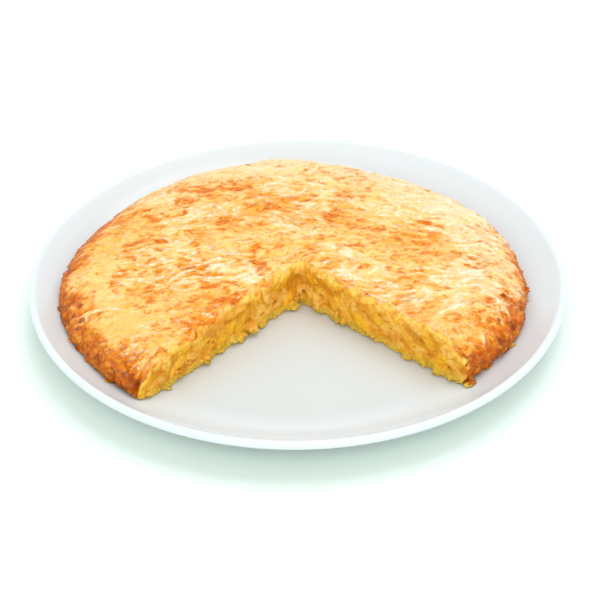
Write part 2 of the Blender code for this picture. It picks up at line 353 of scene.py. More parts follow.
# Pale potato that shows through the skin: x, y, half length, half width, strength
POTATO_PATCHES = (
    (0.0571, 0.0444, 0.0130, 0.0060, 0.9),
    (0.0821, 0.0082, 0.0080, 0.0060, 0.8),
    (0.0785, -0.0219, 0.0080, 0.0045, 0.8),
    (-0.0950, 0.0101, 0.0060, 0.0100, 0.9),
    (-0.0807, -0.0550, 0.0120, 0.0090, 1.0),
    (-0.0524, -0.0756, 0.0130, 0.0050, 0.7),
    (-0.0620, 0.0330, 0.0060, 0.0050, 0.6),
)

# Where the skin is smooth and yellow: x, y, half length, half width, strength
SMOOTH_PLACES = (
    (-0.0990, 0.0150, 0.0120, 0.0260, 1.0),
    (-0.0960, -0.0180, 0.0120, 0.0220, 1.0),
    (-0.0860, -0.0500, 0.0160, 0.0160, 1.0),
    (-0.0760, 0.0500, 0.0110, 0.0110, 0.8),
)
SMOOTH_SHARE = 0.6

# Grey, half clear potato: x, y, half length, half width, strength
CLEAR_PLACES = (
    (0.0588, -0.0385, 0.0065, 0.0030, 1.0),
    (0.0020, 0.0300, 0.0020, 0.0020, 0.7),
)

# All of these places by the name of their mark, with the seed of their ragged edges
PATCH_MARKS = {
    "browned_patch": (BROWNED_PATCHES, 81),
    "potato_patch": (POTATO_PATCHES, 91),
    "smooth_place": (SMOOTH_PLACES, 37),
    "clear_place": (CLEAR_PLACES, 57),
}
PATCH_WANDER = (110.0, 0.0034)
PATCH_EDGE = 1.5

# Strength of the noise, how far apart its layers are read, and its seeds
NOISE_GAIN = 1.6
LAYER_SHIFT = 7.3
SEEDS = {
    "long folds": 3,
    "short folds": 8,
    "dents": 14,
    "wrinkles": 21,
    "calm": 25,
    "skin edge": 33,
    "folds": 41,
    "singed": 43,
    "side folds": 44,
    "pleats": 47,
    "side twist": 50,
    "crumbs": 61,
    "strip": 67,
    "slices": 71,
}

# A noise that isn't stretched
EVEN = (1.0, 1.0, 1.0)

# The glaze: how much darker its tone gets, where the wall starts and ends, over which the wall's
# painted light fades in, and its noises
GLAZE_DEPTH = 0.985
PAINTED_WALL_LIGHT_ZONE = (WELL_RADIUS - 0.004, WELL_RADIUS + 0.014)
GLAZE_TONE = (9.0, 0.3, 0.7)
GLAZE_RIPPLE = (26.0, EVEN, 1.0, 0.0)
FLOOR_DEPTH = 0.99
FLOOR_TONE = (3.0, 0.3, 0.7)

# Noises of the skin: scale, stretch, detail, warp, roughness. The bent ones follow its folds
SKIN_NOISES = {
    "broad": (34.0, EVEN, 2.0),
    "blotches": (62.0, (1.0, 1.0, 1.3), 6.0, 0.8, 0.62),
    "holes": (100.0, (1.0, 1.0, 1.2), 5.0, 0.6, 0.6),
    "streaks": (130.0, (1.0, 1.0, 0.8), 5.0, 0.9, 0.62),
    "ragged": (170.0, (1.0, 1.0, 0.8), 4.0, 0.5),
}
BENT_NOISES = {
    "medium": (150.0, (0.75, 1.0, 1.0), 5.0, 0.5, 0.6),
    "spots": (250.0, (0.75, 1.0, 1.0), 5.0, 0.5, 0.6),
    "fine": (400.0, (0.85, 1.0, 1.0), 4.0, 0.4, 0.65),
}
SKIN_BEND = (55.0, 0.006)
SKIN_LINES = (170.0, 12.0, (0.6, 1.0, 1.0), 3.0, 0.6)
SPECKS = (330.0, 0.725, 0.79, (0.8, 1.0, 1.0), 2.0, 0.2)
SINGED_PATCHES = (150.0, 0.63, 0.71, EVEN, 3.0, 0.4)
SKIN_MARKS = ("cut", "side", "crest", "rim", "painted_rim_highlight", "singed", *PATCH_MARKS)

# Masks of the skin: how much of each noise and mark they add up, and the band of the sum
# that they are drawn from, as its start, its end and the mask at both
SKIN_MASKS = {
    "browned_side": ({"blotches": 1.8, "side": 1.0}, (1.14, 1.84)),
    "golden": (
        {"medium": 1.0, "fine": 1.1, "broad": 0.5, "smooth_place": -0.05, "browned_side": 0.35},
        (1.12, 1.46),
    ),
    "rim_highlight_share": ({"medium": 1.0}, (0.35, 0.6, 0.2, 0.6)),
    "orange": ({"brownness": 1.0}, (0.67, 0.96, 0.0, 0.95)),
    "rust": ({"brownness": 0.6, "fine": 0.8}, (0.875, 1.11)),
    "burnt": ({"streaks": 1.0, "browned_side": 0.3, "fine": 0.35}, (0.93, 1.14, 0.0, 0.95)),
    # Painted glints on the crests, which also thicken the coat
    "lit": ({"fine": 2.2, "crest": 0.5}, (1.30, 1.84)),
    "singed_spot": ({"fine": 0.9, "singed": 1.0}, (0.75, 1.45, 0.0, 0.85)),
    "inside": ({"ragged": 0.7, "cut": 1.0}, (0.38, 1.05)),
    "painted_edge_glint": ({"edge": 4.0, "fine": 1.6, "side": -0.8}, (1.45, 2.0, 0.0, 0.75)),
    "roughness": ({"fine": 1.0}, (0.3, 0.7, 0.34, 0.50)),
}
# How brown the skin is: more in the patches and on the side, less on potato; less on the wrinkles'
# crests and so more in their troughs, which is painted highlight and painted shade
BROWNNESS = {
    "toasted": 1.0,
    "fine": 0.30,
    "broad": 0.30,
    "browned_patch": 0.19,
    # Paler crests and browner troughs: painted highlight and painted shade
    "crest": -0.14,
    "rim": -0.05,
    "potato_patch": -0.10,
    "smooth_place": -0.06,
}
SPOT_CONTRAST = 1.1
PATCH_CONTRAST = 0.4
SIDE_TOAST = 0.69
HOLE_TOAST = -0.7
SINGED_SHARE = 0.64
SIDE_SHADE = 0.16
SPECK_SHARE = 0.8
POTATO_SHARE = 0.7
POTATO_HIDDEN = -0.8
CLEAR_SHARE = 0.8
# Painted highlights: the share of the thin lines, how much the side dulls them, their full
# strength and its loss on the orange
LINE_SHINE = 0.25
SIDE_DULL = 0.7
FULL_SHINE = 0.95
SHINE_LOSS = -0.85
# Heights of the fine relief, and the moisture of the gloss above the least of it
SKIN_GRAIN = {"fine": 1.4, "lines": 0.6}
MOISTURE = {"lit": 0.7, "inside": 0.12}
LEAST_MOISTURE = 0.05

# The cut's colours by the names of their sockets and settings, its noises and its masks
FLESH_COLOURS = {
    "Egg": "egg",
    "Potato": "potato",
    "Clear": "clear",
    "Crevice_shade": "crevice_shade",
    "Top": "strip",
    "Low": "foot",
}
FLESH_MARKS = ("slice", "gap", "strip", "foot")
FLESH_NOISES = {"grain": (420.0, EVEN, 4.0, 0.6, 0.6), "broad": (105.0, EVEN, 4.0, 0.6)}
FLESH_MASKS = {
    "Potato": ({"slice": 1.0, "grain": 1.2}, (0.75, 1.40)),
    "Top": ({"strip": 1.0, "broad": 1.6}, (0.80, 1.70)),
    "Clear": ({"broad": 1.0, "grain": 0.7, "slice": 0.12}, (0.80, 1.12, 0.0, 0.9)),
    "Low": ({"foot": 1.0, "grain": 0.8}, (0.60, 1.30, 0.0, 0.8)),
}
# How much painted shade the gaps get, and how much less of it in the strip
GAP_SHADE_SHARE = 0.6
GAP_IN_STRIP = -0.4
FLESH_GRAIN = {"broad": 1.0, "grain": 3.4}
FLECK_GRAIN = 0.0004
# Light that sinks in: its share and how far
OMELETTE_GLOW = (0.22, 0.003)
FLECK_GLOW = (0.3, 0.002)

# The camera that the photograph was fitted with
CAMERA_TARGET = (0.00111, -0.00923, 0.010)
CAMERA_ELEVATION = math.radians(35.32)
CAMERA_ROLL = math.radians(-0.66)
CAMERA_DISTANCE = 1.0
CAMERA_LENS = 119.1
CAMERA_SENSOR = 36.0

# Where the lights come from
KEY_PLACE = (0.20, 0.45, 1.15)
FRONT_PLACE = (0.0, -1.00, 0.60)
HORIZON_GAIN = 1.5


def colour_property(name, description, default):
    return FloatVectorProperty(
        name=name, description=description, subtype="COLOR", size=3, min=0, max=1, default=default
    )


def length_property(name, description, default):
    return FloatProperty(
        name=name, description=description, default=default, min=0, unit="LENGTH", precision=5
    )


class PlateSettings(bpy.types.PropertyGroup):
    glaze: colour_property("Glaze", "White glaze in the well", (0.600, 0.632, 0.615))
    # Painted light: the wall and the lip are lighter and bluer than the well, for the light that
    # the wall catches and against the warm light thrown on it from the omelette
    wall: colour_property("Wall", "White glaze on the wall and the lip", (0.665, 0.727, 0.748))
    unevenness: length_property("Unevenness", "How far the glaze ripples", 0.00002)
    steps: IntProperty(
        name="Steps", description="Faces round the plate", default=PLATE_STEPS, min=24
    )


class SkinSettings(bpy.types.PropertyGroup):
    pale: colour_property("Pale skin", "Where the egg hardly browned", (0.86, 0.600, 0.205))
    golden: colour_property("Golden skin", "Most of the top", (0.85, 0.405, 0.050))
    potato: colour_property("Potato", "Where potato shows through the skin", (0.79, 0.50, 0.11))
    orange: colour_property("Orange patches", "Where it browned", (0.80, 0.260, 0.011))
    rust: colour_property("Rust patches", "Where it browned most", (0.62, 0.130, 0.002))
    dark: colour_property("Dark specks", "Singed bits", (0.26, 0.044, 0.008))
    clear: colour_property("Clear potato", "Greyish half clear spots", (0.58, 0.37, 0.14))
    # Colour of the painted highlights: glints on the wrinkles' crests, along thin lines, on the
    # far right rim and along the cut's edge
    painted_highlight: colour_property("Crests", "The tops of the wrinkles", (0.92, 0.78, 0.54))
    burnt: colour_property("Burnt streaks", "Darkest streaks on the side", (0.33, 0.058, 0.003))
    wrinkle_depth: length_property("Wrinkle depth", "Height of the skin's wrinkles", 0.0009)
    fold_depth: length_property("Fold depth", "Depth of the folds on the side", 0.0013)
    bump: length_property("Fine relief", "Height of the creases too fine to model", 0.0005)


class CutSettings(bpy.types.PropertyGroup):
    egg: colour_property("Egg", "Set egg between the slices", (0.88, 0.460, 0.018))
    potato: colour_property("Potato", "Cut potato slices", (0.93, 0.575, 0.125))
    clear: colour_property("Clear patches", "Where light sinks in", (0.75, 0.275, 0.006))
    # Painted shade in the gaps between the slices, in the small holes and in the hollow at the
    # apex
    crevice_shade: colour_property("Crevices", "Gaps between the slices", (0.56, 0.175, 0.002))
    strip: colour_property("Strip", "Smooth egg under the skin", (1.00, 0.68, 0.135))
    foot: colour_property("Foot", "Olive yellow along the plate", (0.76, 0.505, 0.052))
    tilt: FloatProperty(
        name="Slice tilt", description="Slope of the slices' cut ends", default=0.10, min=0
    )


class StageSettings(bpy.types.PropertyGroup):
    floor: colour_property("Floor", "Pale floor", (0.79, 0.885, 0.825))
    floor_width: length_property("Floor width", "Side of the square floor", 8.0)
    key_strength: FloatProperty(name="Key", description="Strength of the main light", default=1.1)
    key_width: FloatProperty(
        name="Key width",
        description="How wide the main light looks from the plate",
        default=math.radians(40),
        subtype="ANGLE",
    )
    front_strength: FloatProperty(
        name="Front", description="Strength of the light beside the camera", default=1.00
    )
    front_width: FloatProperty(
        name="Front width",
        description="How wide the front light looks from the plate",
        default=math.radians(60),
        subtype="ANGLE",
    )
    fill_strength: FloatProperty(name="Fill", description="Light from all round", default=0.81)


# Meshes


def smooth(share):
    """From 0 to 1 with level ends, for numbers and arrays."""
    share = np.clip(share, 0.0, 1.0)
    return share * share * (3.0 - 2.0 * share)


def zone(values, start, width):
    """From 0 where the values reach the start to 1 a width further on."""
    return smooth((values - start) / width)


def mixed(shares, parts):
    """Sum of the parts, each times its share."""
    return sum(share * part for share, part in zip(shares, parts))


class Unevenness:
    """Smooth repeatable noise in space, about -1 to 1, for arrays of points."""

    def __init__(self, seed):
        draw = np.random.default_rng(seed)
        self.order = draw.permutation(256)
        slopes = draw.normal(size=(256, 3))
        self.slopes = slopes / np.linalg.norm(slopes, axis=1)[:, None]

    def __call__(self, points):
        cell = np.floor(points).astype(np.int64)
        part = points - cell
        fade = part**3 * (part * (part * 6 - 15) + 10)
        total = np.zeros(len(points))
        for corner in itertools.product((0, 1), repeat=3):
            at = (cell + corner) & 255
            pick = self.order[at[:, 0]]
            pick = self.order[(pick + at[:, 1]) & 255]
            pick = self.order[(pick + at[:, 2]) & 255]
            weight = np.prod(np.where(corner, fade, 1 - fade), axis=1)
            total += weight * np.einsum("ij,ij->i", self.slopes[pick], part - corner)
        return NOISE_GAIN * total


def layered(source, points, layers, falloff=0.5):
    """Noise with finer and finer layers on top."""
    total = np.zeros(len(points))
    size = 1.0
    for layer in range(layers):
        total += size * source(points * 2.0**layer + LAYER_SHIFT * layer)
        size *= falloff
    return total


def wandered(points, scale, distance, seed):
    """Points moved about by smooth noise, so that what follows them bends and meets."""
    shift = [layered(Unevenness(seed + n), points * scale, 2) for n in range(3)]
    return points + distance * np.column_stack(shift)


def ridges(points, seed, layers, stretch, sharpness, power):
    """Ridges, 0 to 1, that run where stretched noise passes through nought."""
    values = layered(Unevenness(seed), points * stretch, layers)
    return np.clip(1.0 - np.abs(values) * sharpness, 0.0, 1.0) ** power


def collection_named(name):
    made = bpy.data.collections.new(name)
    bpy.context.scene.collection.children.link(made)
    return made


def object_from(name, bm, collection=None):
    """A mesh object made from bm, which is freed."""
    mesh = bpy.data.meshes.new(name)
    bm.to_mesh(mesh)
    bm.free()
    made = bpy.data.objects.new(name, mesh)
    (collection or bpy.context.scene.collection).objects.link(made)
    return made


def applied(obj):
    """Replaces the object's mesh with what its modifiers make of it."""
    graph = bpy.context.evaluated_depsgraph_get()
    mesh = bpy.data.meshes.new_from_object(obj.evaluated_get(graph))
    obj.modifiers.clear()
    obj.data = mesh
    return obj


def points_of(mesh):
    points = np.empty(len(mesh.vertices) * 3)
    mesh.vertices.foreach_get("co", points)
    return points.reshape(-1, 3)


def set_points(mesh, points):
    mesh.vertices.foreach_set("co", points.reshape(-1))
    mesh.update()


def store(mesh, name, values):
    """Keeps one number a vertex, which the materials read by name."""
    kept = mesh.attributes.new(name, "FLOAT", "POINT")
    kept.data.foreach_set("value", np.ascontiguousarray(values, np.float32))


def turned(name, profile, steps):
    """A solid of revolution from (radius, height) points, from the top of the axis round
    the outside to the bottom of the axis."""
    bm = bmesh.new()
    points = [bm.verts.new((radius, 0.0, height)) for radius, height in profile]
    for start, end in zip(points, points[1:]):
        bm.edges.new((start, end))
    made = object_from(name, bm)
    screw = made.modifiers.new("turn", "SCREW")
    screw.steps = screw.render_steps = steps
    screw.use_merge_vertices = True
    screw.merge_threshold = 0.00001
    screw.use_smooth_shade = True
    return applied(made)


# Materials


class Tree:
    """Adds nodes to a material or a group in one line each."""

    def __init__(self, owner):
        self.nodes = owner.nodes
        self.links = owner.links

    def add(self, kind, inputs=None, **settings):
        """A node of this kind; an input is a value, or another node's output."""
        made = self.nodes.new(kind)
        for name, value in settings.items():
            setattr(made, name, value)
        for name, value in (inputs or {}).items():
            self.feed(made.inputs[name], value)
        return made

    def feed(self, socket, value):
        if isinstance(value, bpy.types.NodeSocket):
            self.links.new(value, socket)
        elif socket.type == "RGBA" and len(value) == 3:
            socket.default_value = (*value, 1.0)
        else:
            socket.default_value = value

    def maths(self, operation, first, second=0.0, third=0.0, clamp=False):
        made = self.nodes.new("ShaderNodeMath")
        made.operation = operation
        made.use_clamp = clamp
        for socket, value in zip(made.inputs, (first, second, third)):
            self.feed(socket, value)
        return made.outputs[0]

    def vector(self, operation, *values):
        made = self.add("ShaderNodeVectorMath", dict(enumerate(values)), operation=operation)
        return made.outputs[0]

    def total(self, parts, shares, start=0.0):
        """Sum of the named parts, each times its share, on top of the start."""
        for name, share in shares.items():
            start = self.maths("MULTIPLY_ADD", parts[name], share, start)
        return start

    def mask(self, parts, masks, name):
        """Mask made by its row of the table, which other masks may then add up too."""
        shares, limits = masks[name]
        parts[name] = self.band(self.total(parts, shares), *limits)
        return parts[name]

    def mix(self, share, first, second):
        """Colour between first and second."""
        made = self.nodes.new("ShaderNodeMix")
        made.data_type = "RGBA"
        for name, value in (("Factor_Float", share), ("A_Color", first), ("B_Color", second)):
            socket = next(s for s in made.inputs if s.identifier == name)
            self.feed(socket, value)
        return next(s for s in made.outputs if s.identifier == "Result_Color")

    def band(self, value, low, high, bottom=0.0, top=1.0):
        """Maps low..high on to bottom..top with soft ends."""
        made = self.add(
            "ShaderNodeMapRange",
            {"Value": value, "From Min": low, "From Max": high, "To Min": bottom, "To Max": top},
            interpolation_type="SMOOTHSTEP",
        )
        return made.outputs["Result"]

    def kept(self, name):
        """A number stored on the vertices."""
        return self.add("ShaderNodeAttribute", attribute_name=name).outputs["Fac"]


def group_named(name, inputs, outputs):
    """An empty shader node group with named sockets: inputs {name: (type, default)} and
    outputs {name: type}."""
    group = bpy.data.node_groups.new(name, "ShaderNodeTree")
    for label, (kind, default) in inputs.items():
        socket = group.interface.new_socket(label, in_out="INPUT", socket_type="NodeSocket" + kind)
        if default is not None:
            socket.default_value = default
    for label, kind in outputs.items():
        group.interface.new_socket(label, in_out="OUTPUT", socket_type="NodeSocket" + kind)
    tree = Tree(group)
    return group, tree, tree.add("NodeGroupInput").outputs, tree.add("NodeGroupOutput").inputs


def stretched_noise(tree, given):
    """Noise from the group's own Vector, Stretch, Scale, Detail and Warp."""
    place = tree.vector("MULTIPLY", given["Vector"], given["Stretch"])
    inputs = {"Vector": place, "Distortion": given["Warp"]}
    inputs.update({name: given[name] for name in ("Scale", "Detail", "Roughness")})
    return tree.add("ShaderNodeTexNoise", inputs).outputs["Fac"]


NOISE_INPUTS = {
    "Vector": ("Vector", None),
    "Stretch": ("Vector", EVEN),
    "Scale": ("Float", 100.0),
    "Detail": ("Float", 3.0),
    "Roughness": ("Float", 0.5),
    "Warp": ("Float", 0.3),
}


def patches_group():
    """Soft-edged patches: Mask is 0 outside and 1 inside, Raw the noise that makes it."""
    if "patches" in bpy.data.node_groups:
        return bpy.data.node_groups["patches"]
    inputs = {**NOISE_INPUTS, "Start": ("Float", 0.5), "Full": ("Float", 0.6)}
    group, tree, given, out = group_named("patches", inputs, {"Mask": "Float", "Raw": "Float"})
    raw = stretched_noise(tree, given)
    tree.links.new(tree.band(raw, given["Start"], given["Full"]), out["Mask"])
    tree.links.new(raw, out["Raw"])
    return group


def creases_group():
    """Thin winding lines: Mask is 1 on a line and falls to 0 on both sides of it."""
    if "creases" in bpy.data.node_groups:
        return bpy.data.node_groups["creases"]
    inputs = {**NOISE_INPUTS, "Sharpness": ("Float", 6.0)}
    group, tree, given, out = group_named("creases", inputs, {"Mask": "Float"})
    away = tree.maths("ABSOLUTE", tree.maths("SUBTRACT", stretched_noise(tree, given), 0.5))
    fall = tree.maths("MULTIPLY", tree.maths("MULTIPLY", away, 2.0), given["Sharpness"])
    tree.links.new(tree.maths("SUBTRACT", 1.0, fall, clamp=True), out["Mask"])
    return group


def flesh_group():
    """Cut egg and potato: its colour, and the height of its fine grain."""
    if "cut_flesh" in bpy.data.node_groups:
        return bpy.data.node_groups["cut_flesh"]
    inputs = {"Vector": ("Vector", None)}
    inputs.update({name.capitalize(): ("Float", 0.0) for name in FLESH_MARKS})
    inputs.update({name: ("Color", (0.8, 0.5, 0.1, 1.0)) for name in FLESH_COLOURS})
    outputs = {"Colour": "Color", "Height": "Float"}
    group, tree, given, out = group_named("cut_flesh", inputs, outputs)
    parts = {name: given[name.capitalize()] for name in FLESH_MARKS}
    for name, row in FLESH_NOISES.items():
        parts[name] = mottle(tree, given["Vector"], *row)
    colour = given["Egg"]
    for name in ("Potato", "Top", "Clear"):
        colour = tree.mix(tree.mask(parts, FLESH_MASKS, name), colour, given[name])
    # Painted shade in the gaps, the holes and the hollow
    shown = tree.maths("MULTIPLY_ADD", parts["strip"], GAP_IN_STRIP, GAP_SHADE_SHARE)
    colour = tree.mix(tree.maths("MULTIPLY", parts["gap"], shown), colour, given["Crevice_shade"])
    colour = tree.mix(tree.mask(parts, FLESH_MASKS, "Low"), colour, given["Low"])
    tree.links.new(colour, out["Colour"])
    tree.links.new(tree.total(parts, FLESH_GRAIN), out["Height"])
    return group


def placed(tree, group, values):
    """A group in this tree with its own values."""
    made = tree.nodes.new("ShaderNodeGroup")
    made.node_tree = group
    for name, value in values.items():
        tree.feed(made.inputs[name], value)
    return made.outputs


def noise_values(place, scale, stretch, detail, warp, **more):
    """What every noise group needs, by the names of its sockets."""
    shared = {"Vector": place, "Scale": scale, "Stretch": stretch, "Detail": detail}
    return {**shared, "Warp": warp, **more}


def patches(tree, place, scale, start, full, stretch=EVEN, detail=3.0, warp=0.3):
    """Mask of soft-edged patches."""
    values = noise_values(place, scale, stretch, detail, warp, Start=start, Full=full)
    return placed(tree, patches_group(), values)["Mask"]


def mottle(tree, place, scale, stretch=EVEN, detail=3.0, warp=0.3, roughness=0.5):
    """The noise alone, about 0.5."""
    values = noise_values(place, scale, stretch, detail, warp, Roughness=roughness)
    return placed(tree, patches_group(), values)["Raw"]


def creases(tree, place, scale, sharpness, stretch=EVEN, detail=2.0, warp=0.3):
    """Mask of thin winding lines."""
    values = noise_values(place, scale, stretch, detail, warp, Sharpness=sharpness)
    return placed(tree, creases_group(), values)["Mask"]


def bent(tree, place, scale, distance):
    """The place moved about by smooth noise, so that the patches on it bend."""
    shift = tree.add("ShaderNodeTexNoise", {"Vector": place, "Scale": scale, "Detail": 1.0})
    centred = tree.vector("SUBTRACT", shift.outputs["Color"], (0.5, 0.5, 0.5))
    return tree.vector("MULTIPLY_ADD", centred, (distance, distance, distance), place)


def new_material(name):
    """A material with its tree, its shader and the place on the object."""
    made = bpy.data.materials.new(name)
    made.use_nodes = True
    tree = Tree(made.node_tree)
    shader = made.node_tree.nodes["Principled BSDF"]
    place = tree.add("ShaderNodeTexCoord").outputs["Object"]
    return made, tree, shader, place


def relief(tree, shader, height, distance):
    bump = tree.add("ShaderNodeBump", {"Height": height, "Distance": distance})
    bump.inputs["Strength"].default_value = 1.0
    tree.links.new(bump.outputs["Normal"], shader.inputs["Normal"])


def glaze_material(look):
    """White glaze: glossy, with a faint ripple and a faint change of tone, and painted light that
    makes the wall and the lip lighter and bluer than the well.
    """
    made, tree, shader, place = new_material("white_glaze")
    deep = tuple(GLAZE_DEPTH * part for part in look.glaze)
    colour = tree.mix(patches(tree, place, *GLAZE_TONE), deep, look.glaze)
    flat = tree.vector("MULTIPLY", place, (1.0, 1.0, 0.0))
    radius = tree.add("ShaderNodeVectorMath", {0: flat}, operation="LENGTH").outputs["Value"]
    # Painted light: lighter, bluer colour on the wall and the lip
    colour = tree.mix(tree.band(radius, *PAINTED_WALL_LIGHT_ZONE), colour, look.wall)
    tree.feed(shader.inputs["Base Color"], colour)
    shader.inputs["Roughness"].default_value = 0.2
    relief(tree, shader, mottle(tree, place, *GLAZE_RIPPLE), look.unevenness)
    return made


def skin_colour(tree, place, look):
    """Colour of the skin, from pale over golden, orange and rust to burnt, and the parts
    that it is made of, which the relief and the gloss follow too."""
    folded = bent(tree, place, *SKIN_BEND)
    parts = {name: tree.kept(name) for name in SKIN_MARKS}
    parts.update({name: mottle(tree, place, *row) for name, row in SKIN_NOISES.items()})
    parts.update({name: mottle(tree, folded, *row) for name, row in BENT_NOISES.items()})
    side = tree.mask(parts, SKIN_MASKS, "browned_side")
    colour = tree.mix(tree.mask(parts, SKIN_MASKS, "golden"), look.pale, look.golden)
    # Painted highlight along the far right rim, broken up by noise
    rim_highlight_share = tree.maths("MULTIPLY", parts["painted_rim_highlight"], tree.mask(parts, SKIN_MASKS, "rim_highlight_share"))
    colour = tree.mix(rim_highlight_share, colour, look.painted_highlight)

    contrast = tree.maths("MULTIPLY_ADD", parts["browned_patch"], PATCH_CONTRAST, SPOT_CONTRAST)
    centred = tree.maths("SUBTRACT", parts["spots"], 0.5)
    spots = tree.maths("MULTIPLY_ADD", centred, contrast, 0.5)
    toast = tree.maths("MULTIPLY_ADD", parts["holes"], HOLE_TOAST, SIDE_TOAST)
    parts["toasted"] = tree.maths("MULTIPLY", side, toast)
    parts["brownness"] = tree.total(parts, BROWNNESS, spots)
    for name in ("orange", "rust", "burnt"):
        colour = tree.mix(tree.mask(parts, SKIN_MASKS, name), colour, getattr(look, name))

    specks = patches(tree, place, *SPECKS)
    singed = patches(tree, place, *SINGED_PATCHES)
    singed = tree.maths("MULTIPLY_ADD", singed, SINGED_SHARE, SIDE_SHADE)
    singed = tree.maths("MULTIPLY", singed, side)
    singed = tree.maths("MULTIPLY_ADD", specks, SPECK_SHARE, singed, clamp=True)
    colour = tree.mix(singed, colour, look.dark)

    shown = tree.maths("MULTIPLY_ADD", parts["orange"], POTATO_HIDDEN, 1.0)
    potato = tree.maths("MULTIPLY", parts["potato_patch"], POTATO_SHARE)
    colour = tree.mix(tree.maths("MULTIPLY", potato, shown, clamp=True), colour, look.potato)
    clear = tree.maths("MULTIPLY", parts["clear_place"], CLEAR_SHARE, clamp=True)
    colour = tree.mix(clear, colour, look.clear)

    # Painted highlights: glints on the crests and along thin winding lines, fewer on the orange
    # and on the side
    parts["lines"] = creases(tree, folded, *SKIN_LINES)
    lit = tree.mask(parts, SKIN_MASKS, "lit")
    shine = tree.maths("MULTIPLY_ADD", parts["lines"], LINE_SHINE, lit)
    dull = tree.maths("MAXIMUM", parts["orange"], tree.maths("MULTIPLY", side, SIDE_DULL))
    left = tree.maths("MULTIPLY_ADD", dull, SHINE_LOSS, FULL_SHINE)
    colour = tree.mix(tree.maths("MULTIPLY", shine, left, clamp=True), colour, look.painted_highlight)
    colour = tree.mix(tree.mask(parts, SKIN_MASKS, "singed_spot"), colour, look.dark)
    return colour, parts


def flesh(tree, place, look, marks):
    """The flesh group with this look's colours and the marks of these names."""
    values = {label: getattr(look, name) for label, name in FLESH_COLOURS.items()}
    values.update({name.capitalize(): tree.kept(name) for name in marks})
    return placed(tree, flesh_group(), {"Vector": place, **values})


def make_moist(shader, weight, scale):
    """Sheen of fat and egg, and light that sinks in a little."""
    shader.inputs["Specular IOR Level"].default_value = 0.09
    shader.inputs["Coat Weight"].default_value = 0.3
    shader.inputs["Coat Roughness"].default_value = 0.22
    shader.inputs["Subsurface Weight"].default_value = weight
    shader.inputs["Subsurface Radius"].default_value = (1.0, 0.45, 0.12)
    shader.inputs["Subsurface Scale"].default_value = scale


def omelette_material(skin, cut):
    """Browned skin that turns softly into moist egg and potato where the knife went."""
    made, tree, shader, place = new_material("browned_egg_and_potato")
    browned, parts = skin_colour(tree, place, skin)
    inner = flesh(tree, place, cut, FLESH_MARKS)
    inside = tree.mask(parts, SKIN_MASKS, "inside")
    colour = tree.mix(inside, browned, inner["Colour"])
    # Painted glints along the edge where the knife opened the skin
    parts["edge"] = tree.maths("MULTIPLY", inside, tree.maths("SUBTRACT", 1.0, inside))
    colour = tree.mix(tree.mask(parts, SKIN_MASKS, "painted_edge_glint"), colour, skin.painted_highlight)
    tree.feed(shader.inputs["Base Color"], colour)
    tree.feed(shader.inputs["Roughness"], tree.mask(parts, SKIN_MASKS, "roughness"))

    heights = {"Factor": inside, "A": tree.total(parts, SKIN_GRAIN), "B": inner["Height"]}
    height = tree.add("ShaderNodeMix", heights, data_type="FLOAT").outputs["Result"]
    relief(tree, shader, height, skin.bump)
    make_moist(shader, *OMELETTE_GLOW)
    tree.feed(shader.inputs["Coat Weight"], tree.total(parts, MOISTURE, LEAST_MOISTURE))
    return made


def fleck_material(look):
    """Torn flecks, each with a tone of its own."""
    made, tree, shader, place = new_material("torn_egg_and_potato")
    torn = flesh(tree, place, look, ("slice", "foot"))
    tree.feed(shader.inputs["Base Color"], torn["Colour"])
    shader.inputs["Roughness"].default_value = 0.4
    relief(tree, shader, torn["Height"], FLECK_GRAIN)
    make_moist(shader, *FLECK_GLOW)
    return made


def floor_material(settings):
    """Matt pale board with a faint mottle."""
    made, tree, shader, place = new_material("pale_floor")
    deep = tuple(FLOOR_DEPTH * part for part in settings.floor)
    colour = tree.mix(patches(tree, place, *FLOOR_TONE), deep, settings.floor)
    tree.feed(shader.inputs["Base Color"], colour)
    shader.inputs["Roughness"].default_value = 0.9
    shader.inputs["Specular IOR Level"].default_value = 0.1
    return made


# The plate


def lip_start():
    """Radius where the wall's curve ends and the round lip begins."""
    return PLATE_RADIUS - PLATE_THICKNESS / 2 * (1 + math.sin(LIP_SLOPE))


def plate_top(radius):
    """Height of the plate's upper surface above the table."""
    share = max(0.0, (radius - WELL_RADIUS) / (lip_start() - WELL_RADIUS))
    return WELL_LEVEL + WALL_RISE * share**WALL_POWER


def plate_slope(radius):
    """Angle of the plate's upper surface, from level."""
    span = lip_start() - WELL_RADIUS
    share = max(0.0, (radius - WELL_RADIUS) / span)
    return math.atan(WALL_RISE / span * WALL_POWER * share ** (WALL_POWER - 1))


def plate_profile():
    """The plate's section: top, lip, underside and foot."""
    wall = [
        WELL_RADIUS + (lip_start() - WELL_RADIUS) * n / (WALL_POINTS - 1)
        for n in range(WALL_POINTS)
    ]
    top = [(0.0, WELL_LEVEL)] + [(radius, plate_top(radius)) for radius in wall]

    slope = plate_slope(wall[-1])
    half = PLATE_THICKNESS / 2
    middle_radius = wall[-1] + half * math.sin(slope)
    middle_height = top[-1][1] - half * math.cos(slope)
    lip = []
    for n in range(1, LIP_POINTS + 1):
        turn = slope + math.pi / 2 - math.pi * n / (LIP_POINTS + 1)
        radius = middle_radius + half * math.cos(turn)
        lip.append((radius, middle_height + half * math.sin(turn)))

    underside = []
    for radius in reversed(wall):
        slope = plate_slope(radius)
        height = plate_top(radius) - PLATE_THICKNESS * math.cos(slope)
        underside.append((radius + PLATE_THICKNESS * math.sin(slope), height))
    return top + lip + underside + foot_profile()


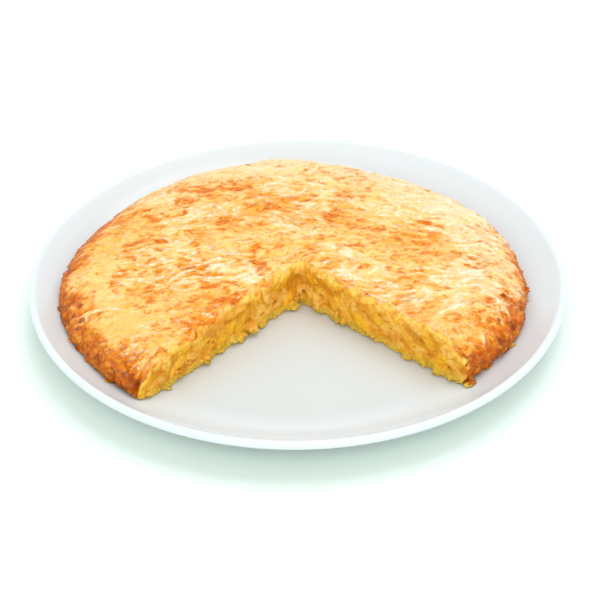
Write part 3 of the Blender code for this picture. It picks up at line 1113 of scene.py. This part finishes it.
def foot_profile():
    """The foot ring and the recessed base inside it, from the outside in."""
    under = WELL_LEVEL - PLATE_THICKNESS
    outside = FOOT_RADIUS + FOOT_WIDTH / 2
    inside = FOOT_RADIUS - FOOT_WIDTH / 2
    return [
        (outside + FOOT_TAPER, under),
        (outside, FOOT_ROUNDING),
        (outside - FOOT_ROUNDING, 0.0),
        (inside + FOOT_ROUNDING, 0.0),
        (inside, FOOT_ROUNDING),
        (inside - FOOT_TAPER, under),
        (0.0, under),
    ]


class SERVING_OT_plate(bpy.types.Operator):
    """Turns the glazed plate from its section"""

    bl_idname = "serving.plate"
    bl_label = "Plate"

    def execute(self, context):
        settings = context.scene.plate_settings
        plate = turned("glazed_plate", plate_profile(), settings.steps)
        plate.data.materials.append(glaze_material(settings))
        plate.data.set_sharp_from_angle(angle=SHARP_ANGLE)
        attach(plate, BODY)
        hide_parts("plate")
        return {"FINISHED"}


# The omelette's form, before its fine relief


def skin_section(share):
    """Radius and height on the outside, from the crown (0) to the base (1)."""
    shoulder = BASE_RADIUS - SHOULDER_WIDTH
    side = SHOULDER_WIDTH * SHOULDER_ARC
    length = shoulder + side + BELLY_HEIGHT
    reach = share * length
    if reach <= shoulder:
        fall = (CROWN_HEIGHT - SHOULDER_HEIGHT) * (reach / shoulder) ** 2
        return reach, CROWN_HEIGHT - fall
    if reach <= shoulder + side:
        turn = math.pi / 2 * (reach - shoulder) / side
        height = BELLY_HEIGHT + (SHOULDER_HEIGHT - BELLY_HEIGHT) * math.cos(turn)
        return shoulder + SHOULDER_WIDTH * math.sin(turn), height
    down = (reach - shoulder - side) / BELLY_HEIGHT
    return BASE_RADIUS - BASE_TUCK * down**TUCK_POWER, BELLY_HEIGHT * (1 - down * BELLY_FALL)


def swell(angle, rise):
    """How far the side stands out at this direction; rise is 0 at the base, 1 on top."""
    total = 0.0
    for direction, half_width, at_base, at_shoulder in SWELLS:
        away = abs(math.remainder(angle - direction, math.tau)) / half_width
        if away < 1.0:
            share = 0.5 + 0.5 * math.cos(math.pi * away)
            total += share * (at_base + (at_shoulder - at_base) * rise)
    return total


def lift(angle, radius):
    """How much higher the top stands here, for numbers and arrays."""
    total = 0.0
    for direction, half_angle, middle, half_width, height in LIFTS:
        turn = (angle - direction + math.pi) % math.tau - math.pi
        share = smooth(1.0 - np.abs(radius - middle) / half_width)
        total += height * share * smooth(1.0 - np.abs(turn) / half_angle)
    return total


def seat_height(x, y):
    """Lowest height for the omelette at a place in its own frame: the plate and a gap."""
    radius = math.hypot(x + OMELETTE_CENTRE[0], y + OMELETTE_CENTRE[1])
    return plate_top(radius) - WELL_LEVEL + SEAT_GAP


def uneven(x, y, z):
    """The place of a turned point on the real, hand-made shape."""
    radius = math.hypot(x, y)
    if radius == 0.0:
        return 0.0, 0.0, max(z, SEAT_GAP)
    angle = math.atan2(y, x)
    rise = min(1.0, z / SHOULDER_HEIGHT)
    freedom = smooth((radius - STEADY_RADIUS) / (FREE_RADIUS - STEADY_RADIUS))
    direction = Vector((x / radius, y / radius, 0.0))

    size, count = OUTLINE_WAVE
    wobble = size * noise.noise(direction * count)
    size, count = FRINGE_WAVE
    wobble += size * noise.noise(direction * count) * (1 - rise)
    moved = radius + freedom * (swell(angle, rise) + wobble)

    towards_back = max(0.0, math.cos(angle - BACK_DIRECTION)) ** 2
    height = z - rise * towards_back * BACK_SINK * smooth(radius / BACK_RADIUS)
    size, count = TOP_WAVE
    on_top = smooth((z - TOP_WAVE_START) / (TOP_WAVE_FULL - TOP_WAVE_START))
    height += size * on_top * noise.noise(Vector((x, y, 0.0)) * count)
    height += rise * lift(angle, radius)

    x, y = direction.x * moved, direction.y * moved
    return x, y, max(height, seat_height(x, y))


def skin_mesh():
    """The whole omelette: a square grid pressed into a round one for the outside, and the
    rings of the seat below it."""
    bm = bmesh.new()
    bmesh.ops.create_grid(bm, x_segments=SKIN_GRID, y_segments=SKIN_GRID, size=1.0)
    for vertex in bm.verts:
        a, b = vertex.co.x, vertex.co.y
        share = max(abs(a), abs(b))
        if share == 0.0:
            angle = 0.0
        elif abs(a) >= abs(b):
            angle = math.pi / 4 * (b / a) + (math.pi if a < 0 else 0.0)
        else:
            angle = math.pi / 2 - math.pi / 4 * (a / b) + (math.pi if b < 0 else 0.0)
        radius, height = skin_section(share)
        vertex.co = uneven(radius * math.cos(angle), radius * math.sin(angle), height)
    ring = [edge for edge in bm.edges if edge.is_boundary]
    for radius in SEAT_RINGS:
        made = bmesh.ops.extrude_edge_only(bm, edges=ring)["geom"]
        for vertex in (v for v in made if isinstance(v, bmesh.types.BMVert)):
            angle = math.atan2(vertex.co.y, vertex.co.x)
            vertex.co = uneven(radius * math.cos(angle), radius * math.sin(angle), 0.0)
        ring = [edge for edge in made if isinstance(edge, bmesh.types.BMEdge) and edge.is_boundary]
    bmesh.ops.holes_fill(bm, edges=ring, sides=0)
    bmesh.ops.recalc_face_normals(bm, faces=list(bm.faces))
    return object_from("omelette_with_a_quarter_out", bm)


def patch_mark(points, name):
    """How far each point is inside one of the listed patches of this name."""
    spots, seed = PATCH_MARKS[name]
    moved = wandered(points, *PATCH_WANDER, seed)
    best = np.zeros(len(points))
    for x, y, half_length, half_width, strength in spots:
        reach = np.hypot((moved[:, 0] - x) / half_length, (moved[:, 1] - y) / half_width)
        best = np.maximum(best, strength * smooth(PATCH_EDGE - reach))
    return best


def fold_shares(points):
    """How near the crest of each listed fold every point is, 0 to 1."""
    moved = wandered(points, *FOLD_WANDER, SEEDS["folds"])[:, :2]
    shares = []
    for x0, y0, x1, y1, half_width, _ in FOLDS:
        start, way = np.array((x0, y0)), np.array((x1 - x0, y1 - y0))
        along = np.clip((moved - start) @ way / (way @ way), 0.0, 1.0)
        away = np.linalg.norm(moved - start - along[:, None] * way, axis=1)
        ends = smooth(FOLD_END - np.abs(2.0 * along - 1.0))
        shares.append(ends * np.exp(-((away / half_width) ** 2)))
    return shares


def singed_field(points):
    """How far each point is inside one of the singed spots."""
    moved = wandered(points, *SINGED_WANDER, SEEDS["singed"])
    best = np.zeros(len(points))
    for x, y, z, radius in SINGED_SPOTS:
        away = np.linalg.norm((moved - (x, y, z)) * SINGED_SHAPE, axis=1)
        best = np.maximum(best, smooth(PATCH_EDGE - away / radius))
    return best


def wrinkle_ridges(points):
    """Wrinkles of the top, 0 in a trough to 1 on a crest. They run from left to right and
    bow with the far edge."""
    moved = wandered(points, *WRINKLE_WANDER, SEEDS["wrinkles"])
    moved[:, 1] += WRINKLE_BOW * points[:, 0] ** 2 * zone(points[:, 1], *BOW_ZONE)
    calm = smooth(0.5 + CALM_CONTRAST * Unevenness(SEEDS["calm"])(points * CALM_SCALE))
    strength = CALM_SHARE + (1.0 - CALM_SHARE) * calm
    strength *= 1.0 - SMOOTH_SHARE * patch_mark(points, "smooth_place")
    long_folds = ridges(moved, SEEDS["long folds"], 2, *LONG_FOLDS)
    short_folds = ridges(moved, SEEDS["short folds"], 2, *SHORT_FOLDS)
    return strength * long_folds, strength * short_folds


def top_share(normals):
    return zone(normals[:, 2], *TOP_FACING)


def skin_relief(points, normals, look):
    """How far the skin stands out: wrinkles and dents on top, folds down the side."""
    parts = [*wrinkle_ridges(points), layered(Unevenness(SEEDS["dents"]), points * DENTS, 2), 1.0]
    on_top = look.wrinkle_depth * mixed(TOP_SHARES, parts)

    angle = np.arctan2(points[:, 1], points[:, 0])
    turn = np.column_stack((np.cos(angle), np.sin(angle), points[:, 2]))
    scale, twist = SIDE_TWIST
    twisted = [Unevenness(SEEDS["side twist"] + n)(points * scale) for n in range(3)]
    turn += twist * np.column_stack(twisted) * (1, 1, twist)
    stretch, falloff = SIDE_FOLDS
    folds = layered(Unevenness(SEEDS["side folds"]), turn * stretch, 4, falloff)
    parts = [folds, ridges(turn, SEEDS["pleats"], 3, *PLEATS), 1.0]
    on_side = look.fold_depth * mixed(SIDE_SHARES, parts)

    top = top_share(normals)
    placed_folds = [fold[-1] * share for fold, share in zip(FOLDS, fold_shares(points))]
    return on_top * top + on_side * (1.0 - top) + sum(placed_folds)


def add_skin_relief(skin, look):
    """Moves the skin's points by its relief; the seat stays as it is."""
    mesh = skin.data
    points = points_of(mesh)
    normals = np.array([vertex.normal[:] for vertex in mesh.vertices])
    outside = zone(points[:, 2], *RELIEF_START)
    moved = points + normals * (skin_relief(points, normals, look) * outside)[:, None]
    lowest = np.array([seat_height(x, y) for x, y, _ in moved])
    moved[:, 2] = np.maximum(moved[:, 2], lowest)
    set_points(mesh, moved)


def side_level(angle):
    """Height up to which the side is browned in this direction."""
    return np.interp(np.degrees(angle), list(SIDE_LEVELS), list(SIDE_LEVELS.values()), period=360)


# The cut and what shows in it


def cut_along(x):
    """Distance from the apex along the cut at this x: negative on the left face."""
    across = x - APEX[0]
    stroke = np.where(across < 0, LEFT_STROKE, RIGHT_STROKE)
    return across / np.sin(stroke)


def cut_point(along):
    """Point of the knife's plane and the way that it faces, seen from above."""
    stroke = LEFT_STROKE if along < 0 else RIGHT_STROKE
    side = -1.0 if along < 0 else 1.0
    reach = math.hypot(along, APEX_ROUNDING)
    point = Vector((APEX[0] + along * math.sin(stroke), APEX[1] - reach * math.cos(stroke)))
    return point, Vector((-side * math.cos(stroke), -math.sin(stroke)))


def potato_slices():
    """The slices' sections: (along, up, half length, half thickness, lean, stand out)."""
    draw = random.Random(SLICE_SEED)
    slices = []
    start = float(cut_along(APEX[0] - CUT_HALF_SPAN))
    end = float(cut_along(APEX[0] + CUT_HALF_SPAN))
    for n in range(int((end - start) / SLICE_SPACING)):
        along = start + (n + draw.uniform(-0.5, 0.5)) * SLICE_SPACING
        up = CROWN_HEIGHT * ((n * GOLDEN_STEP + draw.uniform(0, SLICE_SCATTER)) % 1.0)
        lean = draw.gauss(0, SLICE_LEAN)
        if draw.random() < STEEP_SHARE:
            lean += STEEP_LEAN
        half_length = draw.uniform(*SLICE_LENGTHS)
        half_thickness = draw.uniform(*SLICE_THICKNESSES)
        stand_out = draw.uniform(*SLICE_STAND_OUT)
        slices.append((along, up, half_length, half_thickness, lean, stand_out))
    return [*slices, FOLDED_FLAKE, APEX_LOBE]


def top_height(x, y):
    """Height of the skin above a place, before its unevenness."""
    radius = np.hypot(x, y)
    shoulder = BASE_RADIUS - SHOULDER_WIDTH
    middle = CROWN_HEIGHT - (CROWN_HEIGHT - SHOULDER_HEIGHT) * (radius / shoulder) ** 2
    across = np.clip((radius - shoulder) / SHOULDER_WIDTH, 0.0, 1.0)
    side = BELLY_HEIGHT + (SHOULDER_HEIGHT - BELLY_HEIGHT) * np.sqrt(1.0 - across**2)
    return np.where(radius < shoulder, middle, side) + lift(np.arctan2(y, x), radius)


def slice_levels(along, up, slices, tilt):
    """Level of the slices' ends, their tone (low for egg, high for pale potato), and how
    deep in a gap between slices each place is, 0 to 1."""
    level = np.full(len(along), EGG_RECESS)
    tone = np.full(len(along), EGG_TONE)
    nearest = np.full(len(along), FAR_FROM_SLICES)
    inner, outer = SLICE_EDGE
    draw = random.Random(SLICE_SEED + 1)
    for middle, centre, half_length, half_thickness, lean, stand_out in slices:
        slope = draw.uniform(-tilt, tilt)
        cross_slope = CROSS_TILT * draw.uniform(-tilt, tilt)
        near = np.nonzero(np.abs(along - middle) < half_length * outer)[0]
        aside, above = along[near] - middle, up[near] - centre
        lengthwise = aside * math.cos(lean) + above * math.sin(lean)
        through = above * math.cos(lean) - aside * math.sin(lean)
        reach = np.hypot(lengthwise / half_length, through / half_thickness)
        edge = smooth((reach - inner) / (outer - inner))
        raised = stand_out + slope * lengthwise + cross_slope * through
        candidate = raised + (EGG_RECESS - raised) * edge
        higher = (candidate > level[near]) & (reach < outer)
        level[near[higher]] = candidate[higher]
        middle_share = (1.0 - smooth(reach / outer))[higher]
        tone[near[higher]] = EGG_TONE + (draw.random() - EGG_TONE) * middle_share**0.5
        nearest[near] = np.minimum(nearest[near], reach)
    return level, tone, zone(nearest, GAP_START, GAP_SPAN)


def small_holes(along, up):
    """Depth of the little holes in the cut."""
    draw = random.Random(HOLE_SEED)
    middle, height, radius, deepest = APEX_PIT
    depth = deepest * np.exp(-(np.hypot(along - middle, up - height) / radius) ** 2)
    for n in range(HOLE_COUNT):
        share = (n // 2 + draw.random()) / (HOLE_COUNT / 2)
        middle = (HOLE_START + HOLE_REACH * share) * (-1) ** n
        height = draw.uniform(*HOLE_LEVEL)
        radius = draw.uniform(*HOLE_RADIUS)
        reach = np.hypot((along - middle) / (HOLE_STRETCH * radius), (up - height) / radius)
        depth += draw.uniform(*HOLE_DEPTH) * np.exp(-(reach**2))
    return depth


def cut_relief(x, up, slices, tilt=0.0):
    """How far the cut's surface stands out of the knife's plane, with what its colours
    follow: the slice on top, the gaps, and the strip under the skin."""
    along = cut_along(x)
    places = np.column_stack((along, up, np.zeros(len(along))))
    moved = wandered(places, *SLICE_WANDER, SEEDS["slices"])
    level, tone, gap = slice_levels(moved[:, 0], moved[:, 1], slices, tilt)
    level = SLICE_MIDDLE + SLICE_CONTRAST * (level - SLICE_MIDDLE)
    for number, (size, count) in enumerate(CRUMB_WAVES):
        level += size * Unevenness(SEEDS["crumbs"] + number)(places * count)
    holes = small_holes(along, up)
    level -= holes
    # The holes count as gaps too, so they get the painted shade
    gap = np.maximum(gap, np.clip(holes / HOLE_DEPTH[0], 0.0, 1.0))
    middle, centre, half_length, half_height = HOLLOW
    reach = np.hypot((along - middle) / half_length, (up - centre) / half_height)
    hollow = np.exp(-(reach**2))
    level -= HOLLOW_DEPTH * hollow
    # The hollow at the apex counts as a gap too, so it gets the painted shade
    gap = np.maximum(gap, hollow)

    below_skin = top_height(x, knife_line(x)[0]) - up
    count, size = STRIP_RAGGED
    ragged = size * Unevenness(SEEDS["strip"])(places * count)
    at_apex = (-APEX_ROUNDING, APEX_ROUNDING)
    strip = 1.0 - smooth((below_skin + ragged) / np.interp(along, at_apex, STRIP_WIDTH))
    level += strip * (STRIP_RELIEF - level) * STRIP_SMOOTHNESS
    rounding = np.interp(along, at_apex, EDGE_ROUNDING)
    level -= rounding * np.clip(1.0 - below_skin / EDGE_DROP, 0.0, 1.0) ** 2
    low = np.clip(1.0 - up / SHOULDER_HEIGHT, 0.0, 1.0)
    level += FOOT_FLARE * low**FLARE_POWER
    return level, tone, gap, strip


def knife_line(x):
    """Y of the knife's plane at this x, and the y part of the way that it faces."""
    along = cut_along(x)
    stroke = np.where(along < 0, LEFT_STROKE, RIGHT_STROKE)
    return APEX[1] - np.hypot(along, APEX_ROUNDING) * np.cos(stroke), -np.sin(stroke)


def cut_surface(x, up, slices, tilt):
    """Y of the cut at this x and height, and what its colours follow."""
    level, tone, gap, strip = cut_relief(x, up, slices, tilt)
    line, facing = knife_line(x)
    return line + level / facing, tone, gap, strip


def knife_mesh(slices, tilt, collection):
    """The missing quarter as a cutter, with the slices' relief on its two faces."""
    bm = bmesh.new()
    bmesh.ops.create_grid(bm, x_segments=CUT_COLUMNS, y_segments=CUT_ROWS, size=1.0)
    flat = np.array([vertex.co[:] for vertex in bm.verts])
    x = APEX[0] + flat[:, 0] * CUT_HALF_SPAN
    up = CUT_FLOOR + (flat[:, 1] + 1) / 2 * (CUT_CEILING - CUT_FLOOR)
    y = cut_surface(x, up, slices, tilt)[0]
    for vertex, place in zip(bm.verts, np.column_stack((x, y, up))):
        vertex.co = place
    made = bmesh.ops.extrude_face_region(bm, geom=list(bm.faces), use_keep_orig=True)
    far_side = [v for v in made["geom"] if isinstance(v, bmesh.types.BMVert)]
    bmesh.ops.translate(bm, verts=far_side, vec=(0.0, -CUT_DEPTH, 0.0))
    bmesh.ops.recalc_face_normals(bm, faces=list(bm.faces))
    return object_from("knife", bm, collection)


def flake_mesh(draw, centre, level, facing, shift, size):
    """A torn lump that reaches out over the plate and never dips into it."""
    bm = bmesh.new()
    low, high = size
    radius = low + (high - low) * draw.random() ** FLAKE_SIZE_POWER
    bmesh.ops.create_icosphere(bm, subdivisions=FLAKE_DETAIL, radius=radius)
    turn = facing + draw.uniform(-FLAKE_TWIST, FLAKE_TWIST)
    reach, breadth = draw.uniform(*FLAKE_REACH), draw.uniform(*FLAKE_BREADTH)
    depth, count = FLAKE_LUMPS
    crag, crag_count = FLAKE_CRAGS
    for vertex in bm.verts:
        way = vertex.co.normalized()
        lump = vertex.co * (1 + depth * noise.noise(way * count + shift))
        lump *= 1 + crag * noise.noise(way * crag_count + shift)
        out, across = lump.x * reach, lump.y * breadth
        x = centre.x + out * math.cos(turn) - across * math.sin(turn)
        y = centre.y + out * math.sin(turn) + across * math.cos(turn)
        z = level + lump.z * FLAKE_HEIGHT
        lowest = seat_height(x, y) + SEAT_GAP
        vertex.co = Vector((x, y, max(z, lowest + FLAKE_PRESSED * (z - lowest))))
    return bm


def on_the_cut(along, level, slices):
    """Point of the cut's surface this far along it, as it is before the fine relief, and
    the way that it faces."""
    point, normal = cut_point(along)
    proud = cut_relief(np.array([point.x]), np.array([level]), slices)[0][0]
    return point + normal * proud, normal


def foot_flakes(slices, collection):
    """Torn lumps along the foot of both faces of the cut."""
    draw = random.Random(FLAKE_SEED)
    for side in (-1, 1):
        along = FLAKE_START
        while along < FLAKE_END:
            level = draw.uniform(*FLAKE_LEVEL)
            centre, normal = on_the_cut(side * along, level, slices)
            centre -= normal * FLAKE_SUNK * FLAKE_SIZE[1]
            facing = math.atan2(normal.y, normal.x)
            shift = Vector((along / FLAKE_SIZE[1], side, 0.0))
            flake = flake_mesh(draw, centre, level, facing, shift, FLAKE_SIZE)
            object_from("flake", flake, collection)
            along += draw.uniform(*FLAKE_SPACING)


def base_place(angle, level, sunk):
    """Point of the browned side in this direction, a little under its surface."""
    x, y, _ = uneven(BASE_RADIUS * math.cos(angle), BASE_RADIUS * math.sin(angle), level)
    return Vector((x, y)) - sunk * Vector((math.cos(angle), math.sin(angle)))


def fringe_angles(draw, steps):
    """Directions round the base, from one side of the cut to the other."""
    angle = RIGHT_STROKE - math.pi / 2
    while angle < 1.5 * math.pi - LEFT_STROKE:
        yield angle
        angle += draw.uniform(*steps)


def fringe_knobs(collection):
    """Lumps of browned egg round the base."""
    draw = random.Random(FLECK_SEED + 1)
    for number, angle in enumerate(fringe_angles(draw, FRINGE_STEPS)):
        level = draw.uniform(*FRINGE_LEVEL)
        centre = base_place(angle, level, FRINGE_SUNK)
        step, y, z = KNOB_SHIFT
        shift = Vector((number * step, y, z))
        knob = flake_mesh(draw, centre, level, angle, shift, FRINGE_SIZE)
        object_from("knob", knob, collection)


def fleck_places(draw, slices):
    """Where the small flecks sit: (centre, height, facing)."""
    for side in (-1, 1):
        along = FLECK_START
        while along < FLAKE_END:
            low, high = FLECK_LEVEL
            level = low + (high - low) * draw.random() ** 2
            centre, normal = on_the_cut(side * along, level, slices)
            yield centre, level, math.atan2(normal.y, normal.x)
            along += draw.uniform(*FLECK_GAPS)
    for angle in fringe_angles(draw, FRINGE_FLECK_STEPS):
        level = draw.uniform(*FLECK_LEVEL)
        yield base_place(angle, level, 0.0), level, angle


def foot_share(heights, limits):
    """From 1 at the plate to 0 where the foot's colour ends."""
    top, width = limits
    return smooth((top - heights) / width)


def flecks_mesh(slices):
    """All the small flecks in one mesh, with a tone for each."""
    draw = random.Random(FLECK_SEED)
    whole = bmesh.new()
    tones = []
    for number, (centre, level, facing) in enumerate(fleck_places(draw, slices)):
        step, side_step, z = FLECK_SHIFT
        shift = Vector((number * step, number * side_step, z))
        fleck = flake_mesh(draw, centre, level, facing, shift, FLECK_SIZE)
        tones += [draw.random()] * len(fleck.verts)
        part = bpy.data.meshes.new("fleck")
        fleck.to_mesh(part)
        fleck.free()
        whole.from_mesh(part)
        bpy.data.meshes.remove(part)
    made = object_from("torn_flecks", whole)
    made.data.shade_smooth()
    store(made.data, "slice", tones)
    store(made.data, "foot", foot_share(points_of(made.data)[:, 2], FLECK_ZONE))
    return made


def combine(obj, operation, other):
    """A Boolean with another object, or with every object of a collection."""
    joint = obj.modifiers.new(operation, "BOOLEAN")
    joint.operation = operation
    joint.solver = "MANIFOLD"
    if isinstance(other, bpy.types.Collection):
        joint.operand_type = "COLLECTION"
        joint.collection = other
    else:
        joint.object = other
    return applied(obj)


def drop(collection):
    for found in list(collection.objects):
        bpy.data.objects.remove(found, do_unlink=True)
    bpy.data.collections.remove(collection)


def mark_surfaces(omelette, slices, tilt):
    """Stores what the material reads on each point."""
    mesh = omelette.data
    points = points_of(mesh)
    normals = np.array([vertex.normal[:] for vertex in mesh.vertices])
    x, y, z = points.T
    radius, angle = np.hypot(x, y), np.arctan2(y, x)
    surface, tone, gap, strip = cut_surface(x, z, slices, tilt)
    on_cut = (np.abs(x - APEX[0]) < CUT_HALF_SPAN) & (y < surface + CUT_TOLERANCE)
    below_skin = top_height(x, knife_line(x)[0]) - z
    count, size = SKIN_RAGGED
    reach = np.interp(cut_along(x), SKIN_ALONG, SKIN_DEPTH)
    reach += size * Unevenness(SEEDS["skin edge"])(points * count)
    long_folds, short_folds = wrinkle_ridges(points)
    crest = np.clip(long_folds + CREST_SHARE * short_folds, 0.0, 1.0) * top_share(normals)
    # Where the painted highlight along the rim is strongest
    bright = smooth(RIM_HIGHLIGHT_SPREAD + np.cos(angle - RIM_HIGHLIGHT_DIRECTION))
    marks = {
        "cut": on_cut * smooth((below_skin - reach) / SKIN_SOFTNESS + 0.5),
        "slice": tone,
        "gap": gap,
        "strip": strip,
        "foot": foot_share(z, FOOT_ZONE),
        "crest": crest + FOLD_CREST * np.max(fold_shares(points), axis=0),
        "singed": singed_field(points),
        "rim": zone(radius, *RIM_ZONE),
        "painted_rim_highlight": zone(radius, *RIM_HIGHLIGHT_ZONE) * bright,
        "side": np.clip((side_level(angle) - z) / SIDE_SOFTNESS + 0.5, 0.0, 1.0),
    }
    for name, values in marks.items():
        store(mesh, name, values)
    for name in PATCH_MARKS:
        store(mesh, name, patch_mark(points, name))


class SERVING_OT_omelette(bpy.types.Operator):
    """Models the omelette: its wrinkled skin, the cut and the torn flakes at its foot"""

    bl_idname = "serving.omelette"
    bl_label = "Omelette"

    def execute(self, context):
        skin_look = context.scene.skin_settings
        cut_look = context.scene.cut_settings
        slices = potato_slices()
        helpers = collection_named("helpers")
        omelette = skin_mesh()
        add_skin_relief(omelette, skin_look)
        combine(omelette, "DIFFERENCE", knife_mesh(slices, cut_look.tilt, helpers))
        drop(helpers)
        flakes = collection_named("flakes")
        foot_flakes(slices, flakes)
        fringe_knobs(flakes)
        combine(omelette, "UNION", flakes)
        drop(flakes)
        if not omelette.data.polygons:
            raise RuntimeError("the cut left nothing")

        omelette.data.materials.clear()
        omelette.data.materials.append(omelette_material(skin_look, cut_look))
        mark_surfaces(omelette, slices, cut_look.tilt)
        omelette.data.shade_smooth()
        omelette.data.transform(Matrix.Translation((*OMELETTE_CENTRE, WELL_LEVEL)))
        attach(omelette, BODY)
        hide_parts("omelette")
        return {"FINISHED"}


class SERVING_OT_flecks(bpy.types.Operator):
    """Scatters small torn flecks along the foot of the cut and round the base"""

    bl_idname = "serving.flecks"
    bl_label = "Flecks"

    def execute(self, context):
        flecks = flecks_mesh(potato_slices())
        flecks.data.materials.append(fleck_material(context.scene.cut_settings))
        flecks.data.transform(Matrix.Translation((*OMELETTE_CENTRE, WELL_LEVEL)))
        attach(flecks, BODY)
        return {"FINISHED"}


# The stage


def aim(obj, place, target, roll=0.0):
    """Puts a camera or a light at a place, looking at a target, turned by roll."""
    back = (Vector(place) - Vector(target)).normalized()
    right = Vector((0.0, 0.0, 1.0)).cross(back).normalized()
    up = back.cross(right)
    turned_right = right * math.cos(roll) + up * math.sin(roll)
    turned_up = up * math.cos(roll) - right * math.sin(roll)
    turn = Matrix((turned_right, turned_up, back)).transposed().to_4x4()
    obj.matrix_world = Matrix.Translation(place) @ turn


def add_camera():
    lens = bpy.data.cameras.new("photo_camera")
    lens.sensor_width = CAMERA_SENSOR
    lens.lens = CAMERA_LENS
    lens.clip_start = 0.01
    camera = bpy.data.objects.new("photo_camera", lens)
    bpy.context.scene.collection.objects.link(camera)
    away = Vector((0.0, -math.cos(CAMERA_ELEVATION), math.sin(CAMERA_ELEVATION)))
    place = Vector(CAMERA_TARGET) + away * CAMERA_DISTANCE
    aim(camera, place, CAMERA_TARGET, CAMERA_ROLL)
    bpy.context.scene.camera = camera


def add_light(name, place, strength, width):
    """A wide soft source far away, in this direction."""
    light = bpy.data.lights.new(name, "SUN")
    light.energy = strength
    light.angle = width
    made = bpy.data.objects.new(name, light)
    bpy.context.scene.collection.objects.link(made)
    aim(made, place, (0.0, 0.0, 0.0))


def add_surroundings(strength):
    """White light from all round, stronger near the horizon, as in a light tent."""
    world = bpy.data.worlds.new("white_surroundings")
    world.use_nodes = True
    tree = Tree(world.node_tree)
    background = world.node_tree.nodes["Background"]
    background.inputs["Color"].default_value = (1.0, 1.0, 1.0, 1.0)
    direction = tree.add("ShaderNodeTexCoord").outputs["Generated"]
    height = tree.add("ShaderNodeSeparateXYZ", {"Vector": direction}).outputs["Z"]
    level = tree.band(height, 0.0, 0.9, strength * HORIZON_GAIN, strength)
    tree.links.new(level, background.inputs["Strength"])
    bpy.context.scene.world = world


class SERVING_OT_stage(bpy.types.Operator):
    """Sets the pale floor, the soft studio lights and the camera"""

    bl_idname = "serving.stage"
    bl_label = "Stage"

    def execute(self, context):
        settings = context.scene.stage_settings
        bm = bmesh.new()
        bmesh.ops.create_grid(bm, x_segments=4, y_segments=4, size=settings.floor_width / 2)
        floor = object_from("pale_floor", bm)
        floor.data.materials.append(floor_material(settings))
        add_light("key", KEY_PLACE, settings.key_strength, settings.key_width)
        add_light("front", FRONT_PLACE, settings.front_strength, settings.front_width)
        add_surroundings(settings.fill_strength)
        add_camera()
        view = context.scene.view_settings
        view.view_transform = "Standard"
        view.look = "None"
        return {"FINISHED"}


class SERVING_PT_panel(bpy.types.Panel):
    """Lists the pieces and their settings"""

    bl_label = "Omelette"
    bl_idname = "SERVING_PT_panel"
    bl_space_type = "VIEW_3D"
    bl_region_type = "UI"
    bl_category = "Omelette"

    def draw(self, context):
        scene = context.scene
        for groups, step in STEPS:
            box = self.layout.box()
            box.operator(step)
            for group in groups:
                settings = getattr(scene, group)
                for label in settings.__annotations__:
                    box.prop(settings, label)


STEPS = (
    (("plate_settings",), "serving.plate"),
    (("skin_settings", "cut_settings"), "serving.omelette"),
    ((), "serving.flecks"),
    (("stage_settings",), "serving.stage"),
)
SETTINGS = {
    "plate_settings": PlateSettings,
    "skin_settings": SkinSettings,
    "cut_settings": CutSettings,
    "stage_settings": StageSettings,
}
CLASSES = (
    *SETTINGS.values(),
    SERVING_OT_plate,
    SERVING_OT_omelette,
    SERVING_OT_flecks,
    SERVING_OT_stage,
    SERVING_PT_panel,
)


def register():
    for cls in CLASSES:
        bpy.utils.register_class(cls)
    for name, settings in SETTINGS.items():
        setattr(bpy.types.Scene, name, PointerProperty(type=settings))


def unregister():
    for name in SETTINGS:
        delattr(bpy.types.Scene, name)
    for cls in reversed(CLASSES):
        bpy.utils.unregister_class(cls)


def main():
    register()
    bpy.ops.serving.plate()
    bpy.ops.serving.omelette()
    bpy.ops.serving.flecks()
    bpy.ops.serving.stage()


if __name__ == "__main__":
    main()
